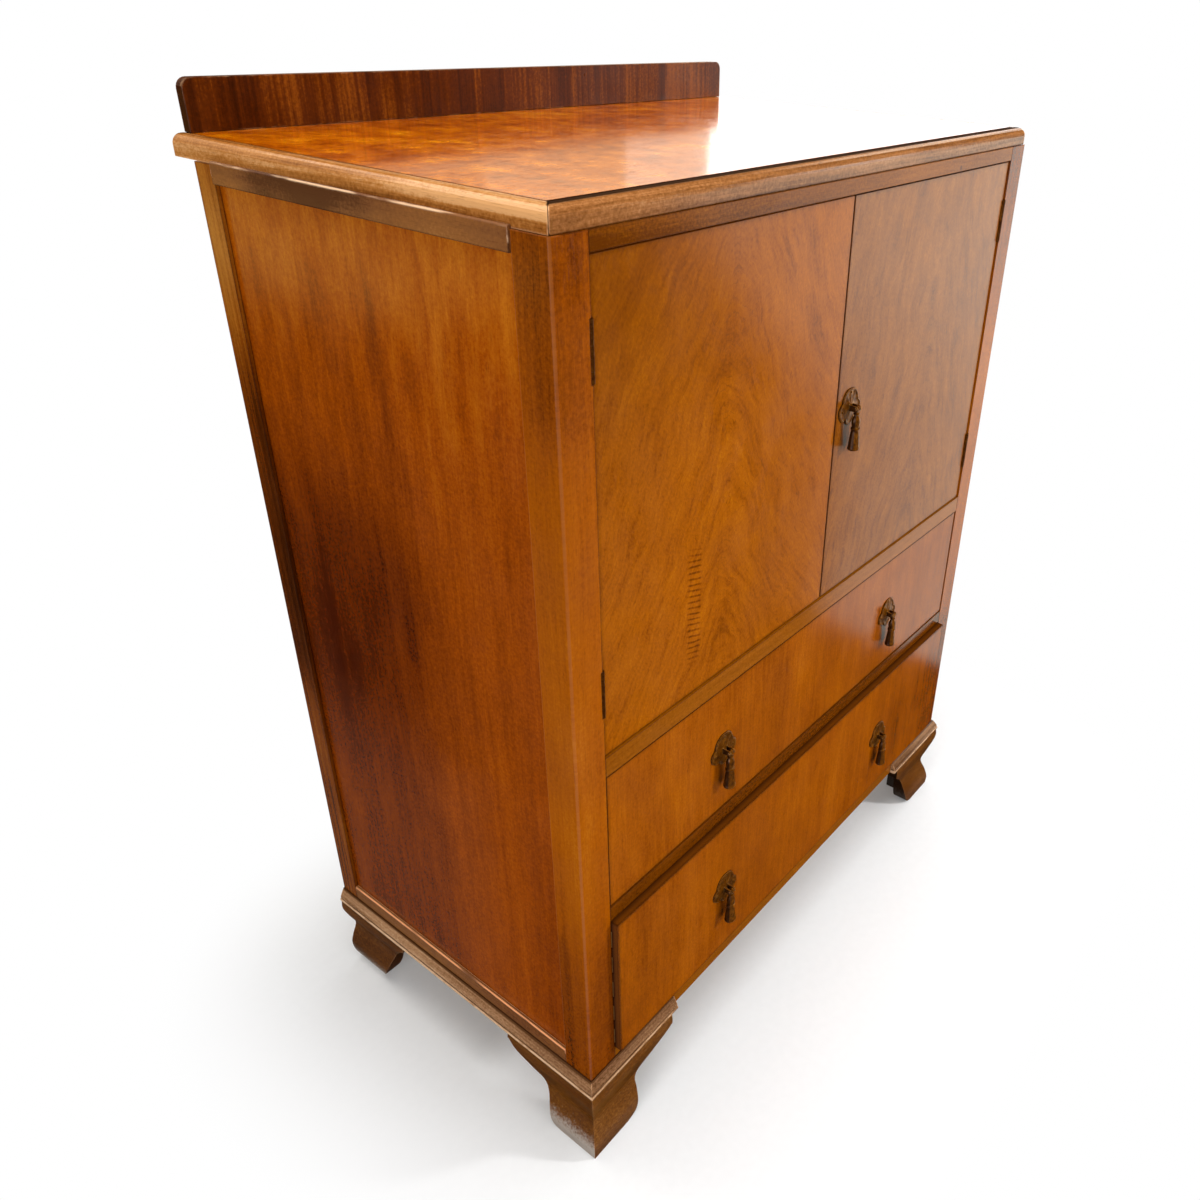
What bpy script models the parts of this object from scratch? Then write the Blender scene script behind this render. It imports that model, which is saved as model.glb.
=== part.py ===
"""A cupboard chest: two doors over two long drawers, on ogee bracket feet.

Runs in Blender's text editor or with blender --background --python part.py. Metres, +Z up.
The chest faces -Y and stands on Z = 0. The origin is the middle of the ground that it covers.
"""

import math

import bmesh
import bpy
from mathutils import Matrix, Vector

# Fit between touching pieces, and the running gaps that show at the front
SEAT = 0.0003
DOOR_GAP = 0.0012
MEETING_GAP = 0.0016
DRAWER_GAP = 0.0012
RUNNING_GAP = 0.0005

# Carcass
WIDTH = 0.838
DEPTH = 0.456
FRONT_POST = 0.039
REAR_POST_WIDTH = 0.032
REAR_POST_DEPTH = 0.029
POST_ARRIS = 0.0028
POST_GROOVE = 0.008
TENON_LENGTH = 0.010
TENON_THICKNESS = 0.012
TENON_SHOULDER = 0.002
HOUSING = 0.005

# Heights of the front, from the plinth up
BOTTOM_RAIL_SHOW = 0.013
LOWER_OPENING = 0.206
DRAWER_RAIL = 0.020
UPPER_OPENING = 0.175
MIDDLE_RAIL = 0.0235
DOOR_OPENING = 0.4673
FRIEZE = 0.0162
DOOR_STOP_DROP = 0.009
DOOR_STOP_THICKNESS = 0.008

# Sides and back
PANEL_THICKNESS = 0.006
PANEL_RECESS = 0.0045
SIDE_RAIL_THICKNESS = 0.020
SIDE_TOP_RAIL_SHOW = 0.0166
SIDE_TOP_RAIL_PROUD = 0.002
SIDE_TOP_RAIL_LIP = 0.003
SIDE_BOTTOM_RAIL_SHOW = 0.019
BACK_THICKNESS = 0.005
BACK_REBATE = 0.010

# Boards inside the carcass
FLOOR_THICKNESS = 0.015
SHELF_THICKNESS = 0.012
SHELF_HEIGHT = 0.225
DUST_BOARD_THICKNESS = 0.010
GUIDE_HEIGHT = 0.014
GUIDE_BEDDING = 0.001

# Top
TOP_THICKNESS = 0.020
TOP_SETBACK = 0.002
TOP_EDGE_WIDTH = 0.013
TOP_NOSE_RADIUS = 0.0095
TOP_REAR_OVERHANG = 0.036
FRONT_CRACK = 0.0014
SIDE_CRACK = 0.0006
GALLERY_HEIGHT = 0.047
GALLERY_THICKNESS = 0.011
GALLERY_CORNER = 0.010
GALLERY_INSET = 0.0155

# Plinth moulding and bracket feet
PLINTH_HEIGHT = 0.020
PLINTH_OUT = 0.009
PLINTH_BEAD = 0.0062
PLINTH_RETURN = 0.143
FOOT_HEIGHT = 0.118
FOOT_FACE_OUT = 0.0075
FOOT_THICKNESS = 0.020
FRONT_WING = 0.133
SIDE_WING = 0.130
FRONT_WING_DROP = 0.016
SIDE_WING_DROP = 0.006
# Points of the sawn edges, in shares of the wing's length and the foot's height
FRONT_SCROLL = ((0.93, 0.80), (0.62, 0.47), (0.575, 0.32), (0.55, 0.16), (0.50, 0.05), (0.40, 0))
SIDE_SCROLL = ((0.93, 0.88), (0.62, 0.41), (0.55, 0.22), (0.52, 0.10), (0.48, 0.03), (0.40, 0))
REAR_SCROLL = ((0.93, 0.90), (0.72, 0.62), (0.655, 0.47), (0.60, 0.31), (0.51, 0.14), (0.38, 0))

# Outer faces of the feet: (how far out of the carcass, share of the height), from the top down
FRONT_OGEE = ((0.0080, 0.86), (0.0005, 0.64), (-0.0060, 0.45), (0.0005, 0.27), (0.0048, 0.12), (0.0044, 0))
REAR_OGEE = (
    (0.0080, 0.88), (0.0005, 0.70), (-0.0060, 0.56), (0.0010, 0.41), (0.0045, 0.30), (0.0010, 0.13), (-0.0070, 0),
)

REAR_BRACKET = 0.120
REAR_BRACKET_THICKNESS = 0.016
GLUE_BLOCK = 0.026

# Doors and their butt hinges
DOOR_THICKNESS = 0.020
DOOR_RECESS = 0.002
HINGE_LENGTH = 0.051
HINGE_INSET = 0.047
LEAF_WIDTH = 0.017
LEAF_THICKNESS = 0.0016
KNUCKLE_RADIUS = 0.0023
HINGE_PIN_RADIUS = 0.0012
HINGE_PIN_OUT = 0.0005
KNUCKLES = 5

# Drawers
DRAWER_FRONT = 0.020
DRAWER_RECESS = 0.001
DRAWER_SIDE = 0.010
DRAWER_BACK = 0.008
DRAWER_BOTTOM = 0.005
DRAWER_BACK_ROOM = 0.026
DRAWER_LAP = 0.0095
DRAWER_BOTTOM_UP = 0.006
DRAWER_GROOVE = 0.005
SIDE_BELOW_FRONT = 0.008
BACK_BELOW_SIDE = 0.006
TAIL_PITCH = 0.038
TAIL_SHARE = 0.62
TAIL_FLARE = 0.0022
LOWER_DRAWER_AJAR = 0.010

# Handles: a shield plate with a fork, and a drop that hangs in it
HANDLE_FROM_CENTRE = 0.189
HANDLE_ABOVE_MIDDLE = 0.001
DOOR_HANDLE_FROM_MEETING = 0.0275
DOOR_HANDLE_ABOVE_MIDDLE = 0.004
PLATE_WIDTH = 0.045
PLATE_HEIGHT = 0.043
PLATE_THICKNESS = 0.0018
PIVOT_OUT = 0.0105
EYE_RADIUS = 0.0036
EYE_WIDTH = 0.0046
LUG_RADIUS = 0.0032
LUG_THICKNESS = 0.0018
HANDLE_PIN_RADIUS = 0.0012
PIN_HEAD_RADIUS = 0.0024
DROP_LENGTH = 0.051
DROP_RADIUS = 0.0068
DROP_SHOULDER_RADIUS = 0.0046
DROP_NECK_RADIUS = 0.0021
DROP_FLATNESS = 0.85

# Places that follow from the sizes
DRAWER_DEPTH = DEPTH - BACK_THICKNESS - DRAWER_BACK_ROOM
HALF = WIDTH / 2
OPEN_HALF = HALF - FRONT_POST
HANDLE_REACH = PIVOT_OUT + max(EYE_RADIUS, DROP_RADIUS * DROP_FLATNESS)
FRONT = -(DEPTH + TOP_REAR_OVERHANG - LOWER_DRAWER_AJAR + DRAWER_RECESS - HANDLE_REACH) / 2
DOOR_FACE = FRONT + DOOR_RECESS
BACK = FRONT + DEPTH
TOP_REAR = BACK + TOP_REAR_OVERHANG
BASE = FOOT_HEIGHT + PLINTH_HEIGHT
LOWER_FLOOR = BASE + BOTTOM_RAIL_SHOW
LOWER_CEILING = LOWER_FLOOR + LOWER_OPENING
UPPER_FLOOR = LOWER_CEILING + DRAWER_RAIL
UPPER_CEILING = UPPER_FLOOR + UPPER_OPENING
DOOR_FLOOR = UPPER_CEILING + MIDDLE_RAIL
DOOR_CEILING = DOOR_FLOOR + DOOR_OPENING
CARCASS_TOP = DOOR_CEILING + FRIEZE
TOP_PLANE = CARCASS_TOP + TOP_THICKNESS
PANEL_OUTER = HALF - PANEL_RECESS
PANEL_INNER = PANEL_OUTER - PANEL_THICKNESS
POSTS_FRONT = FRONT + FRONT_POST
POSTS_BACK = BACK - REAR_POST_DEPTH

# Colour, roughness and metallic value of each finish
FINISHES = {
    "top_veneer": ((0.42, 0.15, 0.02), 0.22, 0.0),
    "door_veneer": ((0.33, 0.12, 0.02), 0.30, 0.0),
    "drawer_veneer": ((0.36, 0.10, 0.01), 0.30, 0.0),
    "side_veneer": ((0.28, 0.09, 0.02), 0.30, 0.0),
    "frame_wood": ((0.30, 0.10, 0.02), 0.32, 0.0),
    "moulding_wood": ((0.26, 0.10, 0.03), 0.32, 0.0),
    "gallery_wood": ((0.10, 0.03, 0.006), 0.30, 0.0),
    "foot_wood": ((0.14, 0.05, 0.02), 0.35, 0.0),
    "inner_wood": ((0.45, 0.30, 0.16), 0.60, 0.0),
    "plywood": ((0.50, 0.35, 0.20), 0.65, 0.0),
    "antique_brass": ((0.16, 0.10, 0.03), 0.35, 1.0),
    "hinge_brass": ((0.22, 0.14, 0.05), 0.40, 1.0),
}


def clear_scene():
    for obj in list(bpy.data.objects):
        bpy.data.objects.remove(obj)


def new_collection(name):
    collection = bpy.data.collections.new(name)
    bpy.context.scene.collection.children.link(collection)
    return collection


def paint(obj, finish):
    colour, roughness, metallic = FINISHES[finish]
    material = bpy.data.materials.new(obj.name)
    material.use_nodes = True
    shader = material.node_tree.nodes["Principled BSDF"]
    shader.inputs["Base Color"].default_value = (*colour, 1.0)
    shader.inputs["Roughness"].default_value = roughness
    shader.inputs["Metallic"].default_value = metallic
    obj.data.materials.append(material)


def place(name, mesh, location, finish, parent=None):
    """Makes a sub-part of a mesh. A location is in world space, and an empty that carries parts is never turned."""
    obj = bpy.data.objects.new(name, mesh)
    obj.location = Vector(location)
    if parent is not None:
        obj.parent = parent
        obj.location -= parent.location
    PARTS.objects.link(obj)
    paint(obj, finish)
    return obj


def helper(name, mesh, location=(0, 0, 0)):
    """Makes a shape that a Boolean reads, which isn't a sub-part."""
    obj = bpy.data.objects.new(name, mesh)
    obj.location = Vector(location)
    obj.hide_render = True
    obj.display_type = "WIRE"
    CUTTERS.objects.link(obj)
    return obj


def combine(obj, other, operation):
    modifier = obj.modifiers.new(operation.lower(), "BOOLEAN")
    modifier.operation = operation
    modifier.object = other
    return obj


def cut(obj, cutter):
    return combine(obj, cutter, "DIFFERENCE")


def join(obj, other):
    return combine(obj, other, "UNION")


def soften(obj, width, segments=2):
    """Rounds the edges of a box-like piece."""
    modifier = obj.modifiers.new("soften", "BEVEL")
    modifier.width = width
    modifier.segments = segments
    modifier.limit_method = "ANGLE"
    modifier.angle_limit = math.radians(40)
    return obj


def finish_mesh(shape, name, smooth_angle=None):
    """Turns an edited shape into a mesh with its faces pointing out."""
    bmesh.ops.recalc_face_normals(shape, faces=shape.faces)
    mesh = bpy.data.meshes.new(name)
    shape.to_mesh(mesh)
    shape.free()
    if smooth_angle is not None:
        mesh.shade_smooth()
        mesh.set_sharp_from_angle(angle=math.radians(smooth_angle))
    return mesh


def box_mesh(name, low, high):
    """A box between two corners, and its centre."""
    low, high = Vector(low), Vector(high)
    shape = bmesh.new()
    bmesh.ops.create_cube(shape, size=1.0)
    bmesh.ops.scale(shape, vec=high - low, verts=shape.verts)
    return finish_mesh(shape, name), (low + high) / 2


def box(name, low, high, finish, parent=None):
    mesh, centre = box_mesh(name, low, high)
    return place(name, mesh, centre, finish, parent)


def box_helper(name, low, high):
    mesh, centre = box_mesh(name, low, high)
    return helper(name, mesh, centre)


# How an outline's two directions and its thickness lie in the world
ACROSS = {
    "X": Matrix(((0, 0, 1), (1, 0, 0), (0, 1, 0))),
    "Y": Matrix(((1, 0, 0), (0, 0, -1), (0, 1, 0))),
    "Z": Matrix(((1, 0, 0), (0, 1, 0), (0, 0, 1))),
}


def prism_mesh(name, outlines, axis, start, end):
    """Flat outlines given a thickness along an axis: (y, z) along X, (x, z) along Y, or (x, y) along Z."""
    curve = bpy.data.curves.new(name, "CURVE")
    curve.dimensions = "2D"
    curve.fill_mode = "BOTH"
    curve.extrude = (end - start) / 2
    for outline in outlines:
        spline = curve.splines.new("POLY")
        spline.points.add(len(outline) - 1)
        for point, (u, v) in zip(spline.points, outline):
            point.co = (u, v, 0, 1)
        spline.use_cyclic_u = True
    flat = bpy.data.objects.new(name, curve)
    CUTTERS.objects.link(flat)
    graph = bpy.context.evaluated_depsgraph_get()
    mesh = bpy.data.meshes.new_from_object(flat.evaluated_get(graph))
    bpy.data.objects.remove(flat)
    shape = bmesh.new()
    shape.from_mesh(mesh)
    bpy.data.meshes.remove(mesh)
    bmesh.ops.remove_doubles(shape, verts=shape.verts, dist=1e-6)
    bmesh.ops.transform(shape, matrix=ACROSS[axis].to_4x4(), verts=shape.verts)
    middle = Vector([(start + end) / 2 if letter == axis else 0 for letter in "XYZ"])
    return finish_mesh(shape, name), middle


def prism(name, outline, axis, start, end, finish, parent=None):
    mesh, middle = prism_mesh(name, [outline], axis, start, end)
    obj = place(name, mesh, middle, finish)
    if parent is not None:
        recentre(obj, parent.location)
        obj.parent = parent
        obj.location = (0, 0, 0)
    return obj


def recentre(obj, origin):
    """Moves an object's origin without moving its shape."""
    shift = obj.location - Vector(origin)
    obj.data.transform(Matrix.Translation(shift))
    obj.location = Vector(origin)


def prism_helper(name, outlines, axis, start, end):
    mesh, middle = prism_mesh(name, outlines, axis, start, end)
    return helper(name, mesh, middle)


def arc(centre, radius, start, end, steps):
    """Points of an arc in a flat outline, with its angles in degrees."""
    angles = [math.radians(start + (end - start) * i / steps) for i in range(steps + 1)]
    return [(centre[0] + radius * math.cos(a), centre[1] + radius * math.sin(a)) for a in angles]


def smooth(points, steps):
    """A curve through the points, bent as evenly as they allow (Catmull and Rom's spline)."""
    ends = [points[0], *points, points[-1]]
    curve = []
    for before, here, there, after in zip(ends, ends[1:], ends[2:], ends[3:]):
        for step in range(steps):
            t = step / steps
            weights = (
                (-t + 2 * t**2 - t**3) / 2,
                (2 - 5 * t**2 + 3 * t**3) / 2,
                (t + 4 * t**2 - 3 * t**3) / 2,
                (t**3 - t**2) / 2,
            )
            corners = (before, here, there, after)
            curve.append(tuple(sum(w * p[k] for w, p in zip(weights, corners)) for k in (0, 1)))
    return [*curve, points[-1]]


def swept_mesh(name, outline, stations, smooth_angle=None):
    """Carries a closed outline through stations, each an origin and the directions of the outline's two axes.

    Where a run turns a corner, the station lies in the mitre's plane and its outward direction is the diagonal.
    """
    shape = bmesh.new()
    rings = []
    for origin, outward, upward in stations:
        corners = [Vector(origin) + Vector(outward) * u + Vector(upward) * v for u, v in outline]
        rings.append([shape.verts.new(corner) for corner in corners])
    shape.faces.new(rings[0])
    shape.faces.new(rings[-1])
    for first, second in zip(rings, rings[1:]):
        for i in range(len(outline)):
            j = (i + 1) % len(outline)
            shape.faces.new((first[i], first[j], second[j], second[i]))
    return finish_mesh(shape, name, smooth_angle)


def turned_mesh(name, profile, steps=14):
    """A profile of (radius, height) turned about Z. It runs down its outer side, top to bottom."""
    shape = bmesh.new()
    points = [shape.verts.new((radius, 0, height)) for radius, height in profile]
    for first, second in zip(points, points[1:]):
        shape.edges.new((first, second))
    bmesh.ops.spin(
        shape,
        geom=shape.verts[:] + shape.edges[:],
        cent=(0, 0, 0),
        axis=(0, 0, 1),
        angle=math.tau,
        steps=steps,
        use_merge=True,
    )
    bmesh.ops.remove_doubles(shape, verts=shape.verts, dist=1e-6)
    return finish_mesh(shape, name, 35)


def pivot(name, location):
    empty = bpy.data.objects.new(name, None)
    empty.location = Vector(location)
    empty.empty_display_size = 0.03
    PARTS.objects.link(empty)
    return empty


def sides():
    """The name and the sign of X of each side."""
    return (("left", -1), ("right", 1))


def span(sign, near, far):
    """The X range between two distances from the middle, on one side."""
    return sorted((sign * near, sign * far))


def panel_groove(sign, clearance):
    return span(sign, PANEL_INNER - clearance, PANEL_OUTER + clearance)


def board_seats():
    """The Z range of each board that is housed in the posts."""
    return {
        "bottom_board": (LOWER_FLOOR - DUST_BOARD_THICKNESS, LOWER_FLOOR),
        "dust_board": (UPPER_FLOOR - DUST_BOARD_THICKNESS, UPPER_FLOOR),
        "cupboard_floor": (DOOR_FLOOR - FLOOR_THICKNESS, DOOR_FLOOR),
        "cupboard_shelf": (DOOR_FLOOR + SHELF_HEIGHT - SHELF_THICKNESS, DOOR_FLOOR + SHELF_HEIGHT),
    }


def rail_seats():
    """The Z range of each rail of the front."""
    return {
        "bottom_rail": (FOOT_HEIGHT + SEAT, LOWER_FLOOR),
        "drawer_rail": (LOWER_CEILING, UPPER_FLOOR),
        "middle_rail": (UPPER_CEILING, DOOR_FLOOR),
        "frieze_rail": (DOOR_CEILING, CARCASS_TOP),
    }


def hinge_seats():
    """The lowest and highest Z of the two hinges of a door."""
    low = DOOR_FLOOR + DOOR_GAP + HINGE_INSET
    high = DOOR_CEILING - DOOR_GAP - HINGE_INSET
    return {"lower": (low, low + HINGE_LENGTH), "upper": (high - HINGE_LENGTH, high)}


def front_post(side, sign):
    """A square post with its front corner rounded and a groove behind for the side panel."""
    low, high = panel_groove(sign, SEAT)
    inner, outer = sign * OPEN_HALF, sign * HALF
    turn = (180, 270) if sign < 0 else (0, -90)
    corner = arc((outer - sign * POST_ARRIS, FRONT + POST_ARRIS), POST_ARRIS, *turn, 4)
    groove = sorted((low, high), reverse=sign < 0)
    outline = [
        (outer, POSTS_FRONT),
        *corner,
        (inner, FRONT),
        (inner, POSTS_FRONT),
        (groove[0], POSTS_FRONT),
        (groove[0], POSTS_FRONT - POST_GROOVE),
        (groove[1], POSTS_FRONT - POST_GROOVE),
        (groove[1], POSTS_FRONT),
    ]
    post = prism(f"{side}_front_post", outline, "Z", FOOT_HEIGHT + SEAT, CARCASS_TOP, "frame_wood")
    for rail, (bottom, top) in rail_seats().items():
        reach = OPEN_HALF + TENON_LENGTH
        cut(post, box_helper(f"{side}_{rail}_mortise", *tenon(bottom, top, reach, SEAT)))
    for board, (bottom, top) in board_seats().items():
        near, far = span(sign, OPEN_HALF - SEAT, PANEL_INNER + SEAT)
        low_corner = (near, POSTS_FRONT - HOUSING - SEAT, bottom - SEAT)
        high_corner = (far, POSTS_FRONT + SEAT, top + SEAT)
        cut(post, box_helper(f"{side}_front_{board}_housing", low_corner, high_corner))
    for hinge, (bottom, top) in hinge_seats().items():
        near, far = span(sign, OPEN_HALF - SEAT, OPEN_HALF + LEAF_THICKNESS + SEAT)
        low_corner = (near, FRONT - SEAT, bottom - SEAT)
        high_corner = (far, DOOR_FACE + LEAF_WIDTH + SEAT, top + SEAT)
        cut(post, box_helper(f"{side}_post_{hinge}_leaf_seat", low_corner, high_corner))
    return post


def rear_post(side, sign):
    """A post with a groove in front for the side panel and a rebate behind for the back."""
    low, high = panel_groove(sign, SEAT)
    inner, outer = sign * (HALF - REAR_POST_WIDTH), sign * HALF
    rebate_y = BACK - BACK_THICKNESS - 2 * SEAT
    rebate_x = inner + sign * BACK_REBATE
    groove = sorted((low, high), reverse=sign < 0)
    outline = [
        (inner, POSTS_BACK),
        (groove[0], POSTS_BACK),
        (groove[0], POSTS_BACK + POST_GROOVE),
        (groove[1], POSTS_BACK + POST_GROOVE),
        (groove[1], POSTS_BACK),
        (outer, POSTS_BACK),
        (outer, BACK),
        (rebate_x, BACK),
        (rebate_x, rebate_y),
        (inner, rebate_y),
    ]
    post = prism(f"{side}_rear_post", outline, "Z", FOOT_HEIGHT + SEAT, CARCASS_TOP, "frame_wood")
    for board, (bottom, top) in board_seats().items():
        near, far = span(sign, HALF - REAR_POST_WIDTH - SEAT, PANEL_INNER + SEAT)
        low_corner = (near, POSTS_BACK - SEAT, bottom - SEAT)
        high_corner = (far, POSTS_BACK + HOUSING + SEAT, top + SEAT)
        cut(post, box_helper(f"{side}_rear_{board}_housing", low_corner, high_corner))
    return post


def side_rail(side, sign, name, outline, tongue):
    """A rail between the posts of one side, with tongues that fill the posts' grooves."""
    rail = prism(name, outline, "Y", POSTS_FRONT + SEAT, POSTS_BACK - SEAT, "frame_wood")
    near, far = panel_groove(sign, -SEAT)
    reach = POST_GROOVE - SEAT
    bottom, top = tongue
    low_corner = (near, POSTS_FRONT - reach, bottom)
    high_corner = (far, POSTS_BACK + reach, top)
    return join(rail, box_helper(f"{name}_tongue", low_corner, high_corner))


def side_frame(side, sign):
    """The top rail, bottom rail and recessed panel of one side."""
    inner = sign * (HALF - SIDE_RAIL_THICKNESS)
    outer = sign * HALF
    near, far = panel_groove(sign, SEAT)
    slot = (near, far) if sign > 0 else (far, near)
    edge = CARCASS_TOP - SIDE_TOP_RAIL_SHOW
    proud = outer + sign * SIDE_TOP_RAIL_PROUD
    lip = sign * (HALF - TOP_SETBACK + SEAT)
    rounding = 0.0012
    top_rail = [
        (inner, CARCASS_TOP),
        (inner, edge),
        (slot[0], edge),
        (slot[0], edge + POST_GROOVE),
        (slot[1], edge + POST_GROOVE),
        (slot[1], edge),
        (proud, edge),
        (proud, CARCASS_TOP + SIDE_TOP_RAIL_LIP - rounding),
        (proud - sign * rounding, CARCASS_TOP + SIDE_TOP_RAIL_LIP),
        (lip, CARCASS_TOP + SIDE_TOP_RAIL_LIP),
        (lip, CARCASS_TOP),
    ]
    tongue = (edge + POST_GROOVE + SEAT, CARCASS_TOP)
    side_rail(side, sign, f"{side}_side_top_rail", top_rail, tongue)
    bottom, shoulder = FOOT_HEIGHT + SEAT, BASE + SIDE_BOTTOM_RAIL_SHOW
    bottom_rail = [
        (inner, bottom),
        (outer, bottom),
        (outer, shoulder - rounding),
        (outer - sign * rounding, shoulder),
        (slot[1], shoulder),
        (slot[1], shoulder - POST_GROOVE),
        (slot[0], shoulder - POST_GROOVE),
        (slot[0], shoulder),
        (inner, shoulder),
    ]
    tongue = (bottom, shoulder - POST_GROOVE - SEAT)
    side_rail(side, sign, f"{side}_side_bottom_rail", bottom_rail, tongue)
    hold = POST_GROOVE - SEAT
    x_low, x_high = span(sign, PANEL_INNER, PANEL_OUTER)
    low_corner = (x_low, POSTS_FRONT - hold, shoulder - hold)
    high_corner = (x_high, POSTS_BACK + hold, edge + hold)
    box(f"{side}_side_panel", low_corner, high_corner, "side_veneer")


def tenon(bottom, top, reach, clearance):
    """The corners of the bar whose two ends are the stub tenons of a rail, and which the mortises fit."""
    middle = FRONT + FRONT_POST / 2
    cheek = TENON_THICKNESS / 2 + clearance
    low_corner = (-reach, middle - cheek, bottom + TENON_SHOULDER - clearance)
    high_corner = (reach, middle + cheek, top - TENON_SHOULDER + clearance)
    return low_corner, high_corner


def front_rails():
    """The four rails of the front. Each end is a stub tenon, and the frieze rail holds the stop of the doors."""
    shoulder = OPEN_HALF - SEAT
    for name, (bottom, top) in rail_seats().items():
        rail = box(name, (-shoulder, FRONT, bottom), (shoulder, POSTS_FRONT, top), "frame_wood")
        reach = OPEN_HALF + TENON_LENGTH - SEAT
        join(rail, box_helper(f"{name}_tenons", *tenon(bottom, top, reach, 0)))
        if name == "frieze_rail":
            near = DOOR_FACE + DOOR_THICKNESS + SEAT
            wide = shoulder - SEAT
            low_corner = (-wide, near, bottom - DOOR_STOP_DROP)
            high_corner = (wide, near + DOOR_STOP_THICKNESS, top - TENON_SHOULDER / 2)
            join(rail, box_helper("door_stop", low_corner, high_corner))


def board(name, seat, wide=PANEL_INNER - SEAT):
    """A board between the sides, housed in the four posts."""
    rear_inner = HALF - REAR_POST_WIDTH - SEAT
    back_edge = BACK - BACK_THICKNESS - 3 * SEAT
    half_plan = [
        (OPEN_HALF + SEAT, POSTS_FRONT + SEAT),
        (OPEN_HALF + SEAT, POSTS_FRONT - HOUSING),
        (wide, POSTS_FRONT - HOUSING),
        (wide, POSTS_BACK + HOUSING),
        (rear_inner, POSTS_BACK + HOUSING),
        (rear_inner, back_edge),
    ]
    plan = [*half_plan, *[(-x, y) for x, y in reversed(half_plan)]]
    return prism(name, plan, "Z", *seat, "inner_wood")


def drawer_board(name, seat, wide=PANEL_INNER - SEAT):
    """The board that a drawer runs on, with a guide glued along each side."""
    bottom, top = seat
    runner = board(name, seat, wide)
    for side, sign in sides():
        near, far = span(sign, OPEN_HALF, wide - SEAT)
        low_corner = (near, POSTS_FRONT + SEAT, top - GUIDE_BEDDING)
        high_corner = (far, POSTS_BACK - SEAT, top + GUIDE_HEIGHT)
        join(runner, box_helper(f"{name}_{side}_guide", low_corner, high_corner))


def inner_boards():
    """The lowest board lies between the bottom rails of the sides, and the others between the panels."""
    seats = board_seats()
    drawer_board("bottom_board", seats["bottom_board"], HALF - SIDE_RAIL_THICKNESS - SEAT)
    drawer_board("dust_board", seats["dust_board"])
    board("cupboard_floor", seats["cupboard_floor"])
    board("cupboard_shelf", seats["cupboard_shelf"])
    wide = HALF - REAR_POST_WIDTH + BACK_REBATE - SEAT
    y_low = BACK - BACK_THICKNESS - SEAT
    low_corner = (-wide, y_low, FOOT_HEIGHT + SEAT)
    high_corner = (wide, y_low + BACK_THICKNESS, CARCASS_TOP)
    box("back_panel", low_corner, high_corner, "plywood")


def top_edge_outline():
    """The section of the top's moulded edge: outwards from the carcass's face, upwards from the carcass's top."""
    outer = -TOP_SETBACK
    inner = outer - TOP_EDGE_WIDTH
    nose = arc((outer - TOP_NOSE_RADIUS, TOP_THICKNESS - TOP_NOSE_RADIUS), TOP_NOSE_RADIUS, 0, 90, 6)
    return [(inner, SEAT), (outer, SEAT), *nose, (inner, TOP_THICKNESS)]


def top():
    """The veneered board with its moulded edge on three sides, mitred at the front corners."""
    inset = TOP_SETBACK + TOP_EDGE_WIDTH
    side_edge = HALF - inset - SIDE_CRACK
    low_corner = (-side_edge, FRONT + inset + FRONT_CRACK, CARCASS_TOP + SEAT)
    high_corner = (side_edge, TOP_REAR, TOP_PLANE)
    box("top_board", low_corner, high_corner, "top_veneer")
    up = (0, 0, 1)
    outline = top_edge_outline()
    ends = [((sign * (HALF - SEAT), FRONT, CARCASS_TOP), (sign, -1, 0), up) for _, sign in sides()]
    mesh = swept_mesh("top_moulding_front", outline, ends, 30)
    place("top_moulding_front", mesh, (0, 0, 0), "moulding_wood")
    for side, sign in sides():
        corner = (sign * HALF, FRONT + SEAT, CARCASS_TOP)
        rear = (sign * HALF, TOP_REAR, CARCASS_TOP)
        stations = [(corner, (sign, -1, 0), up), (rear, (sign, 0, 0), up)]
        name = f"top_moulding_{side}"
        place(name, swept_mesh(name, outline, stations, 30), (0, 0, 0), "moulding_wood")


def gallery():
    """The low board that stands along the back of the top, with its upper corners rounded."""
    wide = HALF - GALLERY_INSET
    low, high = TOP_PLANE + SEAT, TOP_PLANE + GALLERY_HEIGHT
    turn = (wide - GALLERY_CORNER, high - GALLERY_CORNER)
    right = [(wide, low), *arc(turn, GALLERY_CORNER, 0, 90, 6)]
    outline = [*right, *[(-x, z) for x, z in reversed(right)]]
    rail = prism("gallery", outline, "Y", TOP_REAR - GALLERY_THICKNESS, TOP_REAR, "gallery_wood")
    soften(rail, 0.0012, 1)


def plinth_outline():
    """The section of the plinth moulding: a bevel, a quirk and a bead."""
    bead = PLINTH_BEAD / 2
    bead_centre = (PLINTH_OUT - bead, SEAT - PLINTH_HEIGHT + bead)
    slope = PLINTH_HEIGHT - PLINTH_BEAD
    return [
        (SEAT, SEAT - PLINTH_HEIGHT),
        (SEAT, 0),
        (PLINTH_OUT * 0.22, -slope * 0.10),
        (PLINTH_OUT * 0.56, -slope * 0.48),
        (PLINTH_OUT * 0.84, -slope * 0.84),
        (PLINTH_OUT * 0.84, -slope * 0.92),
        (PLINTH_OUT * 0.62, -slope * 0.98),
        *arc(bead_centre, bead, 80, -90, 8),
    ]


def plinth():
    """A moulding along each side, mitred to a short return at the front."""
    up = (0, 0, 1)
    for side, sign in sides():
        corner = (sign * HALF, FRONT, BASE)
        rear = (sign * HALF, BACK, BASE)
        inboard = (sign * (HALF - PLINTH_RETURN), FRONT, BASE)
        stations = [(rear, (sign, 0, 0), up), (corner, (sign, -1, 0), up), (inboard, (0, -1, 0), up)]
        name = f"{side}_plinth_moulding"
        place(name, swept_mesh(name, plinth_outline(), stations, 30), (0, 0, 0), "moulding_wood")


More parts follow.
